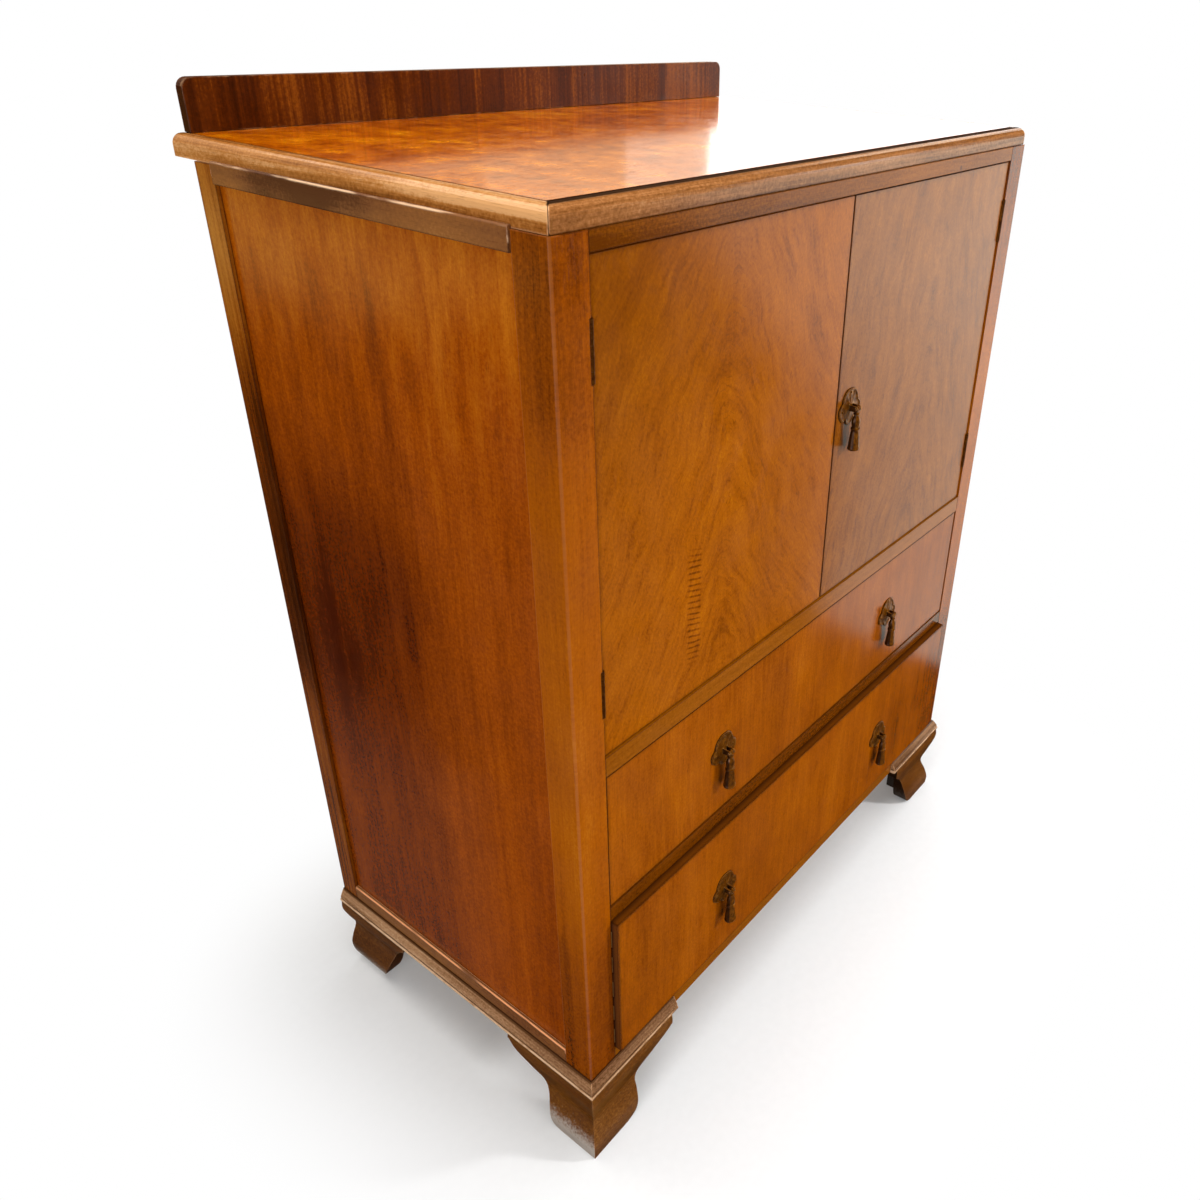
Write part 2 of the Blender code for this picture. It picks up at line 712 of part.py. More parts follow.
def ogee(points):
    """The outer face of a foot: how far it stands out of the carcass at each height, from the top down."""
    lower = [(out, FOOT_HEIGHT * share) for out, share in points]
    return smooth([(FOOT_FACE_OUT, FOOT_HEIGHT), *lower], 5)


def wing_void(length, drop, scroll):
    """What is sawn away under a wing of a foot: distance from the carcass's corner, and height."""
    start = (length, FOOT_HEIGHT - drop)
    edge = smooth([start, *[(length * u, FOOT_HEIGHT * v) for u, v in scroll]], 4)
    beyond, above, below = length + 0.02, FOOT_HEIGHT + 0.01, -0.01
    return [*edge, (edge[-1][0], below), (beyond, below), (beyond, above), (length, above)]


def front_foot(side, sign):
    """Two ogee brackets mitred at the corner, sawn to a scroll below, with a glue block behind."""
    up = (0, 0, 1)
    inner = -FOOT_THICKNESS
    outline = [(inner, 0), (inner, FOOT_HEIGHT), *ogee(FRONT_OGEE)]
    margin = 0.01
    rear = (sign * HALF, FRONT + SIDE_WING + margin, 0)
    corner = (sign * HALF, FRONT, 0)
    inboard = (sign * (HALF - FRONT_WING - margin), FRONT, 0)
    stations = [(rear, (sign, 0, 0), up), (corner, (sign, -1, 0), up), (inboard, (0, -1, 0), up)]
    name = f"{side}_front_foot"
    foot = place(name, swept_mesh(name, outline, stations, 30), (0, 0, 0), "foot_wood")
    block_x = span(sign, HALF + inner - GLUE_BLOCK, HALF + inner + 0.002)
    block_low = (block_x[0], FRONT - inner - 0.002, 0)
    block_high = (block_x[1], FRONT - inner + GLUE_BLOCK, FOOT_HEIGHT)
    join(foot, box_helper(f"{name}_glue_block", block_low, block_high))
    void = [(sign * (HALF - u), v) for u, v in wing_void(FRONT_WING, FRONT_WING_DROP, FRONT_SCROLL)]
    depth = (FRONT - FOOT_FACE_OUT - margin, FRONT + FOOT_THICKNESS + margin)
    cut(foot, prism_helper(f"{name}_front_scroll", [void], "Y", *depth))
    void = [(FRONT + u, v) for u, v in wing_void(SIDE_WING, SIDE_WING_DROP, SIDE_SCROLL)]
    width = span(sign, HALF - FOOT_THICKNESS - margin, HALF + FOOT_FACE_OUT + margin)
    cut(foot, prism_helper(f"{name}_side_scroll", [void], "X", *width))


def rear_foot(side, sign):
    """An ogee bracket along the side, with a plain bracket behind it across the back."""
    up = (0, 0, 1)
    inner = -FOOT_THICKNESS
    outline = [(inner, 0), (inner, FOOT_HEIGHT), *ogee(REAR_OGEE)]
    margin = 0.01
    rear = (sign * HALF, BACK, 0)
    front = (sign * HALF, BACK - SIDE_WING - margin, 0)
    stations = [(rear, (sign, 0, 0), up), (front, (sign, 0, 0), up)]
    name = f"{side}_rear_foot"
    foot = place(name, swept_mesh(name, outline, stations, 30), (0, 0, 0), "foot_wood")
    reach = FOOT_THICKNESS - 0.002
    plain = [
        (sign * (HALF - reach), 0),
        (sign * (HALF - REAR_BRACKET * 0.5), 0),
        (sign * (HALF - REAR_BRACKET * 0.5), FOOT_HEIGHT * 0.25),
        (sign * (HALF - REAR_BRACKET), FOOT_HEIGHT * 0.82),
        (sign * (HALF - REAR_BRACKET), FOOT_HEIGHT),
        (sign * (HALF - reach), FOOT_HEIGHT),
    ]
    depth = (BACK - REAR_BRACKET_THICKNESS, BACK)
    join(foot, prism_helper(f"{name}_plain_bracket", [plain], "Y", *depth))
    void = [(BACK - u, v) for u, v in wing_void(SIDE_WING, SIDE_WING_DROP, REAR_SCROLL)]
    width = span(sign, HALF - FOOT_THICKNESS - margin, HALF + FOOT_FACE_OUT + margin)
    cut(foot, prism_helper(f"{name}_side_scroll", [void], "X", *width))


def knuckle_spans(bottom, top, own):
    """The Z ranges of the frame's knuckles, or of the door's between them."""
    pitch = (top - bottom) / KNUCKLES
    indices = range(0, KNUCKLES, 2) if own == "frame" else range(1, KNUCKLES, 2)
    play = SEAT / 2
    return [(bottom + i * pitch + play, bottom + (i + 1) * pitch - play) for i in indices]


def leaf(name, sign, seat, own, parent=None):
    """One leaf of a butt hinge: a plate let into the wood, with its knuckles along the front edge."""
    bottom, top = seat
    pin_x = sign * (OPEN_HALF - DOOR_GAP / 2)
    pin_y = DOOR_FACE - HINGE_PIN_OUT
    spans = knuckle_spans(bottom, top, own)
    edge = pin_y + KNUCKLE_RADIUS + SEAT
    bore = HINGE_PIN_RADIUS + SEAT
    root = pin_y + (KNUCKLE_RADIUS + bore) / 2
    outline = [(DOOR_FACE + LEAF_WIDTH, top), (DOOR_FACE + LEAF_WIDTH, bottom), (edge, bottom)]
    for low, high in spans:
        low, high = low + SEAT, high - SEAT
        outline += [(edge, low), (root, low), (root, high), (edge, high)]
    outline.append((edge, top))
    inner = OPEN_HALF if own == "frame" else OPEN_HALF - DOOR_GAP - LEAF_THICKNESS
    plate = prism(name, outline, "X", *span(sign, inner, inner + LEAF_THICKNESS), "hinge_brass", parent)
    if own == "frame":
        profile = []
        for low, high in reversed(spans):
            profile += [(HINGE_PIN_RADIUS, high), (KNUCKLE_RADIUS, high)]
            profile += [(KNUCKLE_RADIUS, low), (HINGE_PIN_RADIUS, low)]
        rings = [[(0, spans[-1][1]), *profile[1:-1], (0, spans[0][0])]]
    else:
        outer = KNUCKLE_RADIUS
        rings = [[(bore, high), (outer, high), (outer, low), (bore, low), (bore, high)] for low, high in spans]
    for number, ring in enumerate(rings):
        barrel = f"{name}_barrel_{number}"
        join(plate, helper(barrel, turned_mesh(barrel, ring, 12), (pin_x, pin_y, 0)))
    return plate


def door(side, sign):
    """A door on its two hinges. Its empty stands on the line of the hinge pins."""
    axis = (sign * (OPEN_HALF - DOOR_GAP / 2), DOOR_FACE - HINGE_PIN_OUT, DOOR_FLOOR)
    carrier = pivot(f"{side}_door_pivot", axis)
    x_low, x_high = span(sign, MEETING_GAP / 2, OPEN_HALF - DOOR_GAP)
    low_corner = (x_low, DOOR_FACE, DOOR_FLOOR + DOOR_GAP)
    high_corner = (x_high, DOOR_FACE + DOOR_THICKNESS, DOOR_CEILING - DOOR_GAP)
    slab = box(f"{side}_door", low_corner, high_corner, "door_veneer", carrier)
    soften(slab, 0.0006, 1)
    for hinge, seat in hinge_seats().items():
        bottom, top = seat
        near, far = span(sign, OPEN_HALF - DOOR_GAP - LEAF_THICKNESS - SEAT, OPEN_HALF)
        low_corner = (near, DOOR_FACE - SEAT, bottom - SEAT)
        high_corner = (far, DOOR_FACE + LEAF_WIDTH + SEAT, top + SEAT)
        cut(slab, box_helper(f"{side}_door_{hinge}_leaf_seat", low_corner, high_corner))
        leaf(f"{side}_{hinge}_hinge_frame_leaf", sign, seat, "frame")
        leaf(f"{side}_{hinge}_hinge_door_leaf", sign, seat, "door", carrier)
    return carrier


def plate_outline(centre_x, centre_z):
    """A shield: an arched head, two side lobes and a small lower lobe."""
    w, h = PLATE_WIDTH / 2, PLATE_HEIGHT / 2
    head = smooth([(0, h), (0.31 * w, 0.96 * h), (0.58 * w, 0.74 * h), (0.73 * w, 0.40 * h)], 3)
    lobe = smooth([(0.71 * w, 0.32 * h), (w, 0.02 * h), (0.93 * w, -0.42 * h), (0.62 * w, -0.70 * h)], 3)
    foot = smooth([(0.36 * w, -0.64 * h), (0.30 * w, -0.82 * h), (0.15 * w, -0.96 * h), (0, -h)], 3)
    right = [*head, *lobe, *foot]
    left = [(-x, z) for x, z in reversed(right[1:-1])]
    return [(centre_x + x, centre_z + z) for x, z in [*right, *left]]


def handle_pin(name, reach):
    """A pin along X with a domed head at each end of the fork."""
    head = PIN_HEAD_RADIUS * 0.8
    right = [
        (0, reach + head),
        (PIN_HEAD_RADIUS * 0.7, reach + head * 0.65),
        (PIN_HEAD_RADIUS, reach - SEAT),
        (HANDLE_PIN_RADIUS, reach - SEAT),
    ]
    profile = [*right, *[(radius, -height) for radius, height in reversed(right)]]
    return turned_mesh(name, profile, 12)


def handle(name, centre_x, centre_z, face_y, parent):
    """A plate that carries a fork and its pin, and a drop that swings on the pin."""
    plate_y = (face_y - SEAT - PLATE_THICKNESS, face_y - SEAT)
    outline = plate_outline(centre_x, centre_z)
    plate = prism(f"{name}_plate", outline, "Y", *plate_y, "antique_brass", parent)
    pivot_y = face_y - PIVOT_OUT
    gap = EYE_WIDTH / 2 + SEAT
    root = plate_y[0] + PLATE_THICKNESS / 2
    tip = arc((pivot_y, centre_z), LUG_RADIUS, 270, 90, 6)
    lug_outline = [(root, centre_z + LUG_RADIUS), (root, centre_z - LUG_RADIUS), *tip]
    for side, sign in sides():
        near, far = sorted((centre_x + sign * gap, centre_x + sign * (gap + LUG_THICKNESS)))
        join(plate, prism_helper(f"{name}_{side}_lug", [lug_outline], "X", near, far))
    hinge_point = (centre_x, pivot_y, centre_z)
    pin = helper(f"{name}_pin", handle_pin(f"{name}_pin", gap + LUG_THICKNESS), hinge_point)
    pin.rotation_euler = (0, math.radians(90), 0)
    join(plate, pin)
    carrier = pivot(f"{name}_pivot", hinge_point)
    drop(name, hinge_point, carrier)
    carrier.parent = parent
    carrier.location -= parent.location


def drop(name, hinge_point, carrier):
    """A tassel-shaped drop, a little flattened, with an eye at its head for the pin."""
    bore = HANDLE_PIN_RADIUS + SEAT
    profile = [
        (0, -(EYE_RADIUS + bore) / 2),
        (DROP_NECK_RADIUS, -(EYE_RADIUS + bore) / 2),
        (DROP_NECK_RADIUS, -EYE_RADIUS * 1.15),
        (DROP_SHOULDER_RADIUS * 0.85, -EYE_RADIUS * 1.75),
        (DROP_SHOULDER_RADIUS, -EYE_RADIUS * 2.5),
        (DROP_SHOULDER_RADIUS * 1.08, -DROP_LENGTH * 0.45),
        (DROP_RADIUS * 0.93, -DROP_LENGTH * 0.80),
        (DROP_RADIUS, -DROP_LENGTH * 0.92),
        (DROP_RADIUS * 0.82, -DROP_LENGTH * 0.98),
        (0, -DROP_LENGTH),
    ]
    mesh = turned_mesh(f"{name}_drop", profile)
    mesh.transform(Matrix.Diagonal((1, DROP_FLATNESS, 1, 1)))
    body = place(f"{name}_drop", mesh, hinge_point, "antique_brass", carrier)
    for tool, radius, reach in (("eye", EYE_RADIUS, EYE_WIDTH / 2), ("bore", bore, EYE_WIDTH)):
        ring = [(0, reach), (radius, reach), (radius, -reach), (0, -reach)]
        turned = helper(f"{name}_{tool}", turned_mesh(f"{name}_{tool}", ring), hinge_point)
        turned.rotation_euler = (0, math.radians(90), 0)
        combine(body, turned, "UNION" if tool == "eye" else "DIFFERENCE")


def tails(root, tip, bottom, top, grow=0.0):
    """Dovetails along one edge of a drawer side, each as four (y, z) corners from the lower root round."""
    count = max(1, round((top - bottom) / TAIL_PITCH))
    pitch = (top - bottom) / count
    ahead = 1 if tip > root else -1
    found = []
    for i in range(count):
        middle = bottom + (i + 0.5) * pitch
        wide = pitch * TAIL_SHARE / 2 + grow
        narrow = wide - TAIL_FLARE
        tip_y = tip + ahead * grow
        found.append([(root, middle - narrow), (tip_y, middle - wide), (tip_y, middle + wide), (root, middle + narrow)])
    return found


def drawer(name, floor, opening, ajar):
    """A dovetailed drawer. Its empty moves along Y."""
    face = FRONT + DRAWER_RECESS - ajar
    carrier = pivot(f"{name}_slide", (0, face, floor))
    wide = OPEN_HALF - DRAWER_GAP
    low, high = floor + DRAWER_GAP, floor + opening - DRAWER_GAP
    behind = face + DRAWER_FRONT
    rear = face + DRAWER_DEPTH
    side_low, side_high = floor + RUNNING_GAP, high - SIDE_BELOW_FRONT
    back_high = side_high - BACK_BELOW_SIDE
    groove_low = floor + DRAWER_BOTTOM_UP
    groove_high = groove_low + DRAWER_BOTTOM + 2 * SEAT
    inner = wide - DRAWER_SIDE
    front = box(f"{name}_front", (-wide, face, low), (wide, behind, high), "drawer_veneer", carrier)
    soften(front, 0.0006, 1)
    slot_low = (-inner - DRAWER_GROOVE, behind - DRAWER_GROOVE, groove_low)
    slot_high = (inner + DRAWER_GROOVE, behind + SEAT, groove_high)
    cut(front, box_helper(f"{name}_front_groove", slot_low, slot_high))
    back_low = groove_high
    back_face = rear - DRAWER_BACK
    back = box(f"{name}_back", (-wide, back_face, back_low), (wide, rear, back_high), "inner_wood", carrier)
    front_tails = tails(behind + SEAT, face + DRAWER_LAP, side_low, side_high)
    back_tails = tails(back_face - SEAT, rear, back_low, back_high)
    for side, sign in sides():
        edge = [point for tail in front_tails for point in tail]
        rear_edge = [point for tail in reversed(back_tails) for point in reversed(tail)]
        outline = [
            (back_face - SEAT, side_low),
            (behind + SEAT, side_low),
            *edge,
            (behind + SEAT, side_high),
            (back_face - SEAT, side_high),
            *rear_edge,
        ]
        near, far = span(sign, inner, wide)
        board_name = f"{name}_{side}_side"
        board_obj = prism(board_name, outline, "X", near, far, "inner_wood", carrier)
        groove_x = span(sign, inner - SEAT, inner + DRAWER_GROOVE)
        slot_low = (groove_x[0], face, groove_low)
        slot_high = (groove_x[1], rear + SEAT, groove_high)
        cut(board_obj, box_helper(f"{board_name}_groove", slot_low, slot_high))
        socket_x = span(sign, inner - SEAT, wide + 0.002)
        sockets = tails(behind + 2 * SEAT, face + DRAWER_LAP, side_low, side_high, SEAT)
        cut(front, prism_helper(f"{board_name}_front_sockets", sockets, "X", *socket_x))
        sockets = tails(back_face - 2 * SEAT, rear + SEAT, back_low, back_high, SEAT)
        cut(back, prism_helper(f"{board_name}_back_sockets", sockets, "X", *socket_x))
    reach = inner + DRAWER_GROOVE - SEAT
    base = groove_low + SEAT
    low_corner = (-reach, behind - DRAWER_GROOVE + SEAT, base)
    high_corner = (reach, rear, base + DRAWER_BOTTOM)
    box(f"{name}_bottom", low_corner, high_corner, "plywood", carrier)
    middle = (low + high) / 2 + HANDLE_ABOVE_MIDDLE
    for side, sign in sides():
        handle(f"{name}_{side}_handle", sign * HANDLE_FROM_CENTRE, middle, face, carrier)


def build():
    for side, sign in sides():
        front_post(side, sign)
        rear_post(side, sign)
        side_frame(side, sign)
        front_foot(side, sign)
        rear_foot(side, sign)
    front_rails()
    inner_boards()
    top()
    gallery()
    plinth()
    doors = {side: door(side, sign) for side, sign in sides()}
    handle_height = (DOOR_FLOOR + DOOR_CEILING) / 2 + DOOR_HANDLE_ABOVE_MIDDLE
    handle("door_handle", DOOR_HANDLE_FROM_MEETING, handle_height, DOOR_FACE, doors["right"])
    drawer("upper_drawer", UPPER_FLOOR, UPPER_OPENING, 0)
    drawer("lower_drawer", LOWER_FLOOR, LOWER_OPENING, LOWER_DRAWER_AJAR)


clear_scene()
PARTS = new_collection("cupboard_chest")
CUTTERS = new_collection("cutters")
build()
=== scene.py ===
"""Cupboard chest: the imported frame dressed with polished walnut, cast brass handles and small hardware."""
import math

import bmesh
import bpy
from mathutils import Euler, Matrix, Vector


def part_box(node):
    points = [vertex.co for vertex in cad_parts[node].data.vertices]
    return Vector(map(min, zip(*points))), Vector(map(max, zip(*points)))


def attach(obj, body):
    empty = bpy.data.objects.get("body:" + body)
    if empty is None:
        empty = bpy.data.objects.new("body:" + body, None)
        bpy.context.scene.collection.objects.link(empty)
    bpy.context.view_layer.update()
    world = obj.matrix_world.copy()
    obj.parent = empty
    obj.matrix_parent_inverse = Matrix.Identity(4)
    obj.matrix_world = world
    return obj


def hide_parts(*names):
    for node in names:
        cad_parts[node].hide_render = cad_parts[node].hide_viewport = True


# Camera: its place in metres, its turn in degrees, and how the photo was framed
CAMERA_PLACE = (-0.9186, -0.7558, 1.2056)
CAMERA_TURN = (61.232, -2.174, -53.593)
CAMERA_LENS = 30.36
CAMERA_SHIFT = (-0.1148, -0.0362)

# Handles, in metres, to match the solids that they stand for
PLATE_WIDTH = 0.045
PLATE_HEIGHT = 0.043
SEAT = 0.0003
PIVOT_OUT = 0.0105
PIN_RADIUS = 0.0012
PIN_HEAD_RADIUS = 0.0024
FORK_GAP = 0.0026
LUG_RADIUS = 0.0032
LUG_THICKNESS = 0.0018
DROP_LENGTH = 0.051
DROP_FLATNESS = 0.85
DROP_FULLNESS = 1.16

# The eye ring's middle radius, half its width across the radius, and half its depth along the pin
EYE_RING = (0.00255, 0.00095, 0.0021)

# Screws, arrises and the angle from which an edge is sharp
SCREW_PITCH = 0.0175
SCREW_INSET = 0.0075
SCREW_STAGGER = 0.003
ARRIS = 0.0006
SHARP_ANGLE = math.radians(38)

# The floor: its half size, and the middle and half size of the part that keeps its shadow, along two axes
FLOOR_REACH = 16
SHADOW_AREA = (("X", 0.05, 0.44), ("Y", -0.05, 0.25))

# Places of the solids that the materials follow, in metres
TOP_PLANE = 1.079
CARCASS_TOP = 1.059
BASE = 0.138
HALF_WIDTH = 0.419
FRIEZE_HOLE = (0.234, 1.047)

# Each wood's colours as a picture shows them, from dark to light
TONES = {
    "golden": ((106, 52, 0), (143, 73, 0), (164, 88, 0), (188, 112, 2)),
    # The right door's tones are darker than the left door's golden, as painted shade.
    "shaded": ((96, 46, 4), (126, 66, 6), (146, 82, 12), (168, 102, 26)),
    "orange": ((112, 52, 0), (142, 70, 0), (162, 84, 0), (186, 106, 6)),
    "amber": ((96, 40, 0), (142, 68, 0), (166, 86, 0), (190, 112, 16)),
    "side": ((66, 18, 0), (114, 46, 0), (154, 70, 0), (184, 102, 12)),
    "rear": ((58, 22, 0), (96, 42, 2), (132, 66, 6), (168, 100, 26)),
    "walnut": ((92, 44, 2), (130, 70, 4), (152, 86, 10), (176, 112, 36)),
    # The drawer rail's tones are dark as painted shade from the drawers above and below it.
    "brown": ((50, 20, 0), (88, 42, 0), (118, 60, 2), (150, 84, 16)),
    "flank": ((82, 44, 24), (118, 72, 40), (140, 88, 44), (168, 116, 62)),
    "dark": ((30, 6, 0), (54, 17, 0), (80, 32, 0), (126, 66, 8)),
    "moulding": ((78, 40, 14), (122, 74, 34), (156, 102, 56), (194, 140, 96)),
    # The side mouldings' tones are lighter than the front moulding's, as painted light.
    "painted_lit_moulding": ((98, 50, 14), (148, 88, 34), (184, 120, 58), (220, 164, 108)),
    "plinth": ((92, 58, 32), (140, 100, 68), (176, 136, 100), (214, 180, 146)),
    "burl": ((140, 58, 0), (180, 84, 0), (210, 110, 0), (236, 146, 12)),
    "foot": ((54, 22, 0), (86, 44, 2), (112, 64, 10), (146, 96, 40)),
    "pale": ((112, 74, 32), (150, 106, 54), (176, 130, 74), (198, 156, 98)),
}
TONE_STOPS = (0.12, 0.38, 0.62, 0.9)
RUBBED_PALE = (226, 176, 128)
PORE = (60, 22, 2)
RIM = (40, 14, 0)
DIRT = (34, 14, 4)
SOFT_SHADOW = (52, 20, 0)
PAINTED_SHADE = (62, 25, 0)
PAINTED_SHADOW_TONE = (44, 16, 0)
SCUFF_AND_SHEEN = (184, 176, 168)
DARK_JOINT = (30, 10, 0)
JOINT_AND_SHADE = (18, 8, 3)
RUBBED_BRASS_AND_HIGHLIGHT = (236, 186, 116)
BRASS_DIRT = (24, 14, 4)
PAINTED_BRASS_SHADE = (34, 12, 0)
MOULDED = {
    "worn": RUBBED_PALE, "wear": 0.9, "wear_width": 0.0022, "grit": 0.3, "curved": True, "corner": True,
}

# How closely a rounded normal follows its face where an edge begins and where it is whole
CURVED_EDGE = (0.99, 0.86)
FLAT_EDGE = (0.995, 0.90)

# How far each seed moves a wood's pattern along, across and the third way
SEED_SHIFTS = (3.17, 1.31, 0.73)
SIDE_SEED = 5.1

# Lamps: name, place, aim, size, watts, colour, and whether the polish mirrors them
PURE_WHITE = (1, 1, 1, 1)
WARM = (1.0, 0.97, 0.93)
LAMPS = (
    ("key", (1.9, -2.7, 1.7), (0.0, -0.1, 0.55), (0.35, 0.35), 78, WARM, False),
    ("near_left", (-2.95, -0.75, 1.1), (-0.3, -0.1, 0.6), (1.6, 1.4), 35, WARM, True),
    ("front_right", (3.5, -2.35, 1.5), (0.2, 0.2, 1.1), (0.8, 0.9), 9, WARM, True),
    ("overhead", (-0.2, -0.4, 3.1), (0.0, 0.0, 0.9), (2.2, 2.2), 76, WARM, False),
    ("behind", (-1.0, 3.2, 2.4), (-0.4, 0.0, 0.9), (2.6, 1.2), 8, (1.0, 0.80, 0.55), True),
    ("behind_high", (-1.0, 2.6, 3.4), (-0.4, -0.2, 1.0), (1.6, 1.2), 16, (1.0, 0.90, 0.75), True),
    ("right_high", (3.2, 0.0, 2.7), (0.0, -0.2, 1.0), (1.2, 0.8), 8, (1.0, 0.88, 0.70), True),
    ("window", (3.1, 0.95, 1.45), (0.3, 0.35, 1.1), (2.44, 1.5), 26, (1.0, 1.0, 1.0), True),
    ("window_edge", (2.99, 2.44, 1.9), (-0.2, -0.1, 1.1), (0.5, 1.0), 0.7, (1.0, 0.94, 0.88), True),
    ("far_window", (2.75, 2.55, 2.05), (-0.2, -0.1, 1.1), (1.3, 0.7), 1.5, (1.0, 0.74, 0.46), True),
    ("far_wall", (2.36, 3.0, 1.65), (-0.2, 0.1, 1.1), (2.2, 1.3), 5.2, (1.0, 0.82, 0.55), True),
)

SIDES = ("left", "right")
DRAWERS = ("upper_drawer", "lower_drawer")
HANDLES = {
    "door_handle": "right_door",
    "upper_drawer_left_handle": "upper_drawer",
    "upper_drawer_right_handle": "upper_drawer",
    "lower_drawer_left_handle": "lower_drawer",
    "lower_drawer_right_handle": "lower_drawer",
}


def srgb(red, green, blue):
    """A colour as a picture shows it, 0 to 255, turned into the linear values that shaders take."""
    def linear(value):
        value /= 255
        return value / 12.92 if value <= 0.04045 else ((value + 0.055) / 1.055) ** 2.4
    return (linear(red), linear(green), linear(blue), 1)


class Shader:
    """One material, and short calls for the nodes it is made of."""

    def __init__(self, name, owner=None):
        self.owner = owner or bpy.data.materials.new(name)
        self.owner.use_nodes = True
        self.tree = self.owner.node_tree
        self.tree.nodes.clear()

    def add(self, kind, values=None, **settings):
        made = self.tree.nodes.new("ShaderNode" + kind)
        for key, value in settings.items():
            setattr(made, key, value)
        for key, value in (values or {}).items():
            self.put(made.inputs[key], value)
        return made

    def put(self, socket, value):
        if isinstance(value, bpy.types.NodeSocket):
            self.tree.links.new(value, socket)
        else:
            socket.default_value = value

    def axes(self, kind="TexCoord", output="Object"):
        """The three axes of the place on the part, or of the surface's normal."""
        split = self.add("SeparateXYZ", {0: self.add(kind).outputs[output]})
        return {axis: split.outputs[axis] for axis in "XYZ"}

    def math(self, operation, *values):
        return self.add("Math", dict(enumerate(values)), operation=operation).outputs[0]

    def times(self, *values):
        result = values[0]
        for value in values[1:]:
            result = self.math("MULTIPLY", result, value)
        return result

    def total(self, *terms):
        """The sum of pairs (value, weight)."""
        result = None
        for value, weight in terms:
            term = self.math("MULTIPLY", value, weight)
            result = term if result is None else self.math("ADD", result, term)
        return result

    def step(self, value, low, high, to_low=0.0, to_high=1.0):
        """A smooth step from to_low at low to to_high at high."""
        limits = {"From Min": low, "From Max": high, "To Min": to_low, "To Max": to_high}
        return self.add("MapRange", {"Value": value, **limits}, interpolation_type="SMOOTHSTEP").outputs[0]

    def hill(self, value, low, high, soft):
        """1 between low and high, falling to 0 over a soft distance beyond them."""
        return self.times(self.step(value, low - soft, low), self.step(value, high, high + soft, 1.0, 0.0))

    def point(self, x, y, z):
        return self.add("CombineXYZ", {0: x, 1: y, 2: z}).outputs[0]

    def cloud(self, place, scale, detail=2.0, roughness=0.5):
        """Noise at so many waves per metre along each of the three ways."""
        stretched = self.point(*[self.math("MULTIPLY", way, rate) for way, rate in zip(place, scale)])
        values = {"Vector": stretched, "Scale": 1.0, "Detail": detail, "Roughness": roughness}
        return self.add("TexNoise", values).outputs["Fac"]

    def drift(self, place, scale, detail=2.0, roughness=0.5):
        """The same noise, swinging about 0."""
        return self.math("SUBTRACT", self.cloud(place, scale, detail, roughness), 0.5)

    def ramp(self, factor, *stops):
        node = self.add("ValToRGB", {0: factor})
        points = node.color_ramp.elements
        while len(points) < len(stops):
            points.new(0.5)
        for point, (place, colour) in zip(points, stops):
            point.position = place
            point.color = colour
        return node.outputs[0]

    def mix(self, factor, a, b):
        return self.add("Mix", {0: factor, 6: a, 7: b}, data_type="RGBA").outputs[2]

    def bump(self, height, strength, distance):
        values = {"Height": height, "Strength": strength, "Distance": distance}
        return self.add("Bump", values).outputs[0]

    def light(self, colour, strength, kind="Emission"):
        return self.add(kind, {"Color": colour, "Strength": strength}).outputs[0]

    def blend(self, factor, a, b):
        return self.add("MixShader", {0: factor, 1: a, 2: b}).outputs[0]

    def by_ray(self, usual, glossy, seen):
        """The surface that light meets, the one that the polish mirrors and the one that the camera sees."""
        path = self.add("LightPath").outputs
        return self.blend(path["Is Camera Ray"], self.blend(path["Is Glossy Ray"], usual, glossy), seen)

    def edges(self, width, curved=False):
        """1 along a piece's edges and 0 on its faces, which are square to its axes unless it is curved."""
        rounded = self.add("Bevel", {"Radius": width}, samples=4).outputs[0]
        if curved:
            normal = self.add("NewGeometry").outputs["Normal"]
            across = self.add("VectorMath", {0: rounded, 1: normal}, operation="DOT_PRODUCT").outputs["Value"]
            return self.step(across, *CURVED_EDGE)
        turn = self.add("VectorTransform", {0: rounded}, vector_type="NORMAL", convert_to="OBJECT")
        split = self.add("SeparateXYZ", {0: turn.outputs[0]})
        x, y, z = [self.math("ABSOLUTE", split.outputs[axis]) for axis in "XYZ"]
        return self.step(self.math("MAXIMUM", self.math("MAXIMUM", x, y), z), *FLAT_EDGE)

    def hollows(self, reach, own=True):
        """1 in a piece's own hollows, or also beside what stands on it, and 0 on its open faces."""
        values = {"Distance": reach}
        open_share = self.add("AmbientOcclusion", values, samples=8, only_local=own).outputs["AO"]
        return self.step(open_share, 0.92, 0.45)

    def finish(self, **values):
        """Joins the surface shader to the output. The keys are its socket names with _ for a space."""
        sockets = {key.replace("_", " "): value for key, value in values.items()}
        return self.show(self.add("BsdfPrincipled", sockets).outputs[0])

    def show(self, surface, output="OutputMaterial"):
        self.tree.links.new(surface, self.add(output).inputs[0])
        return self.owner


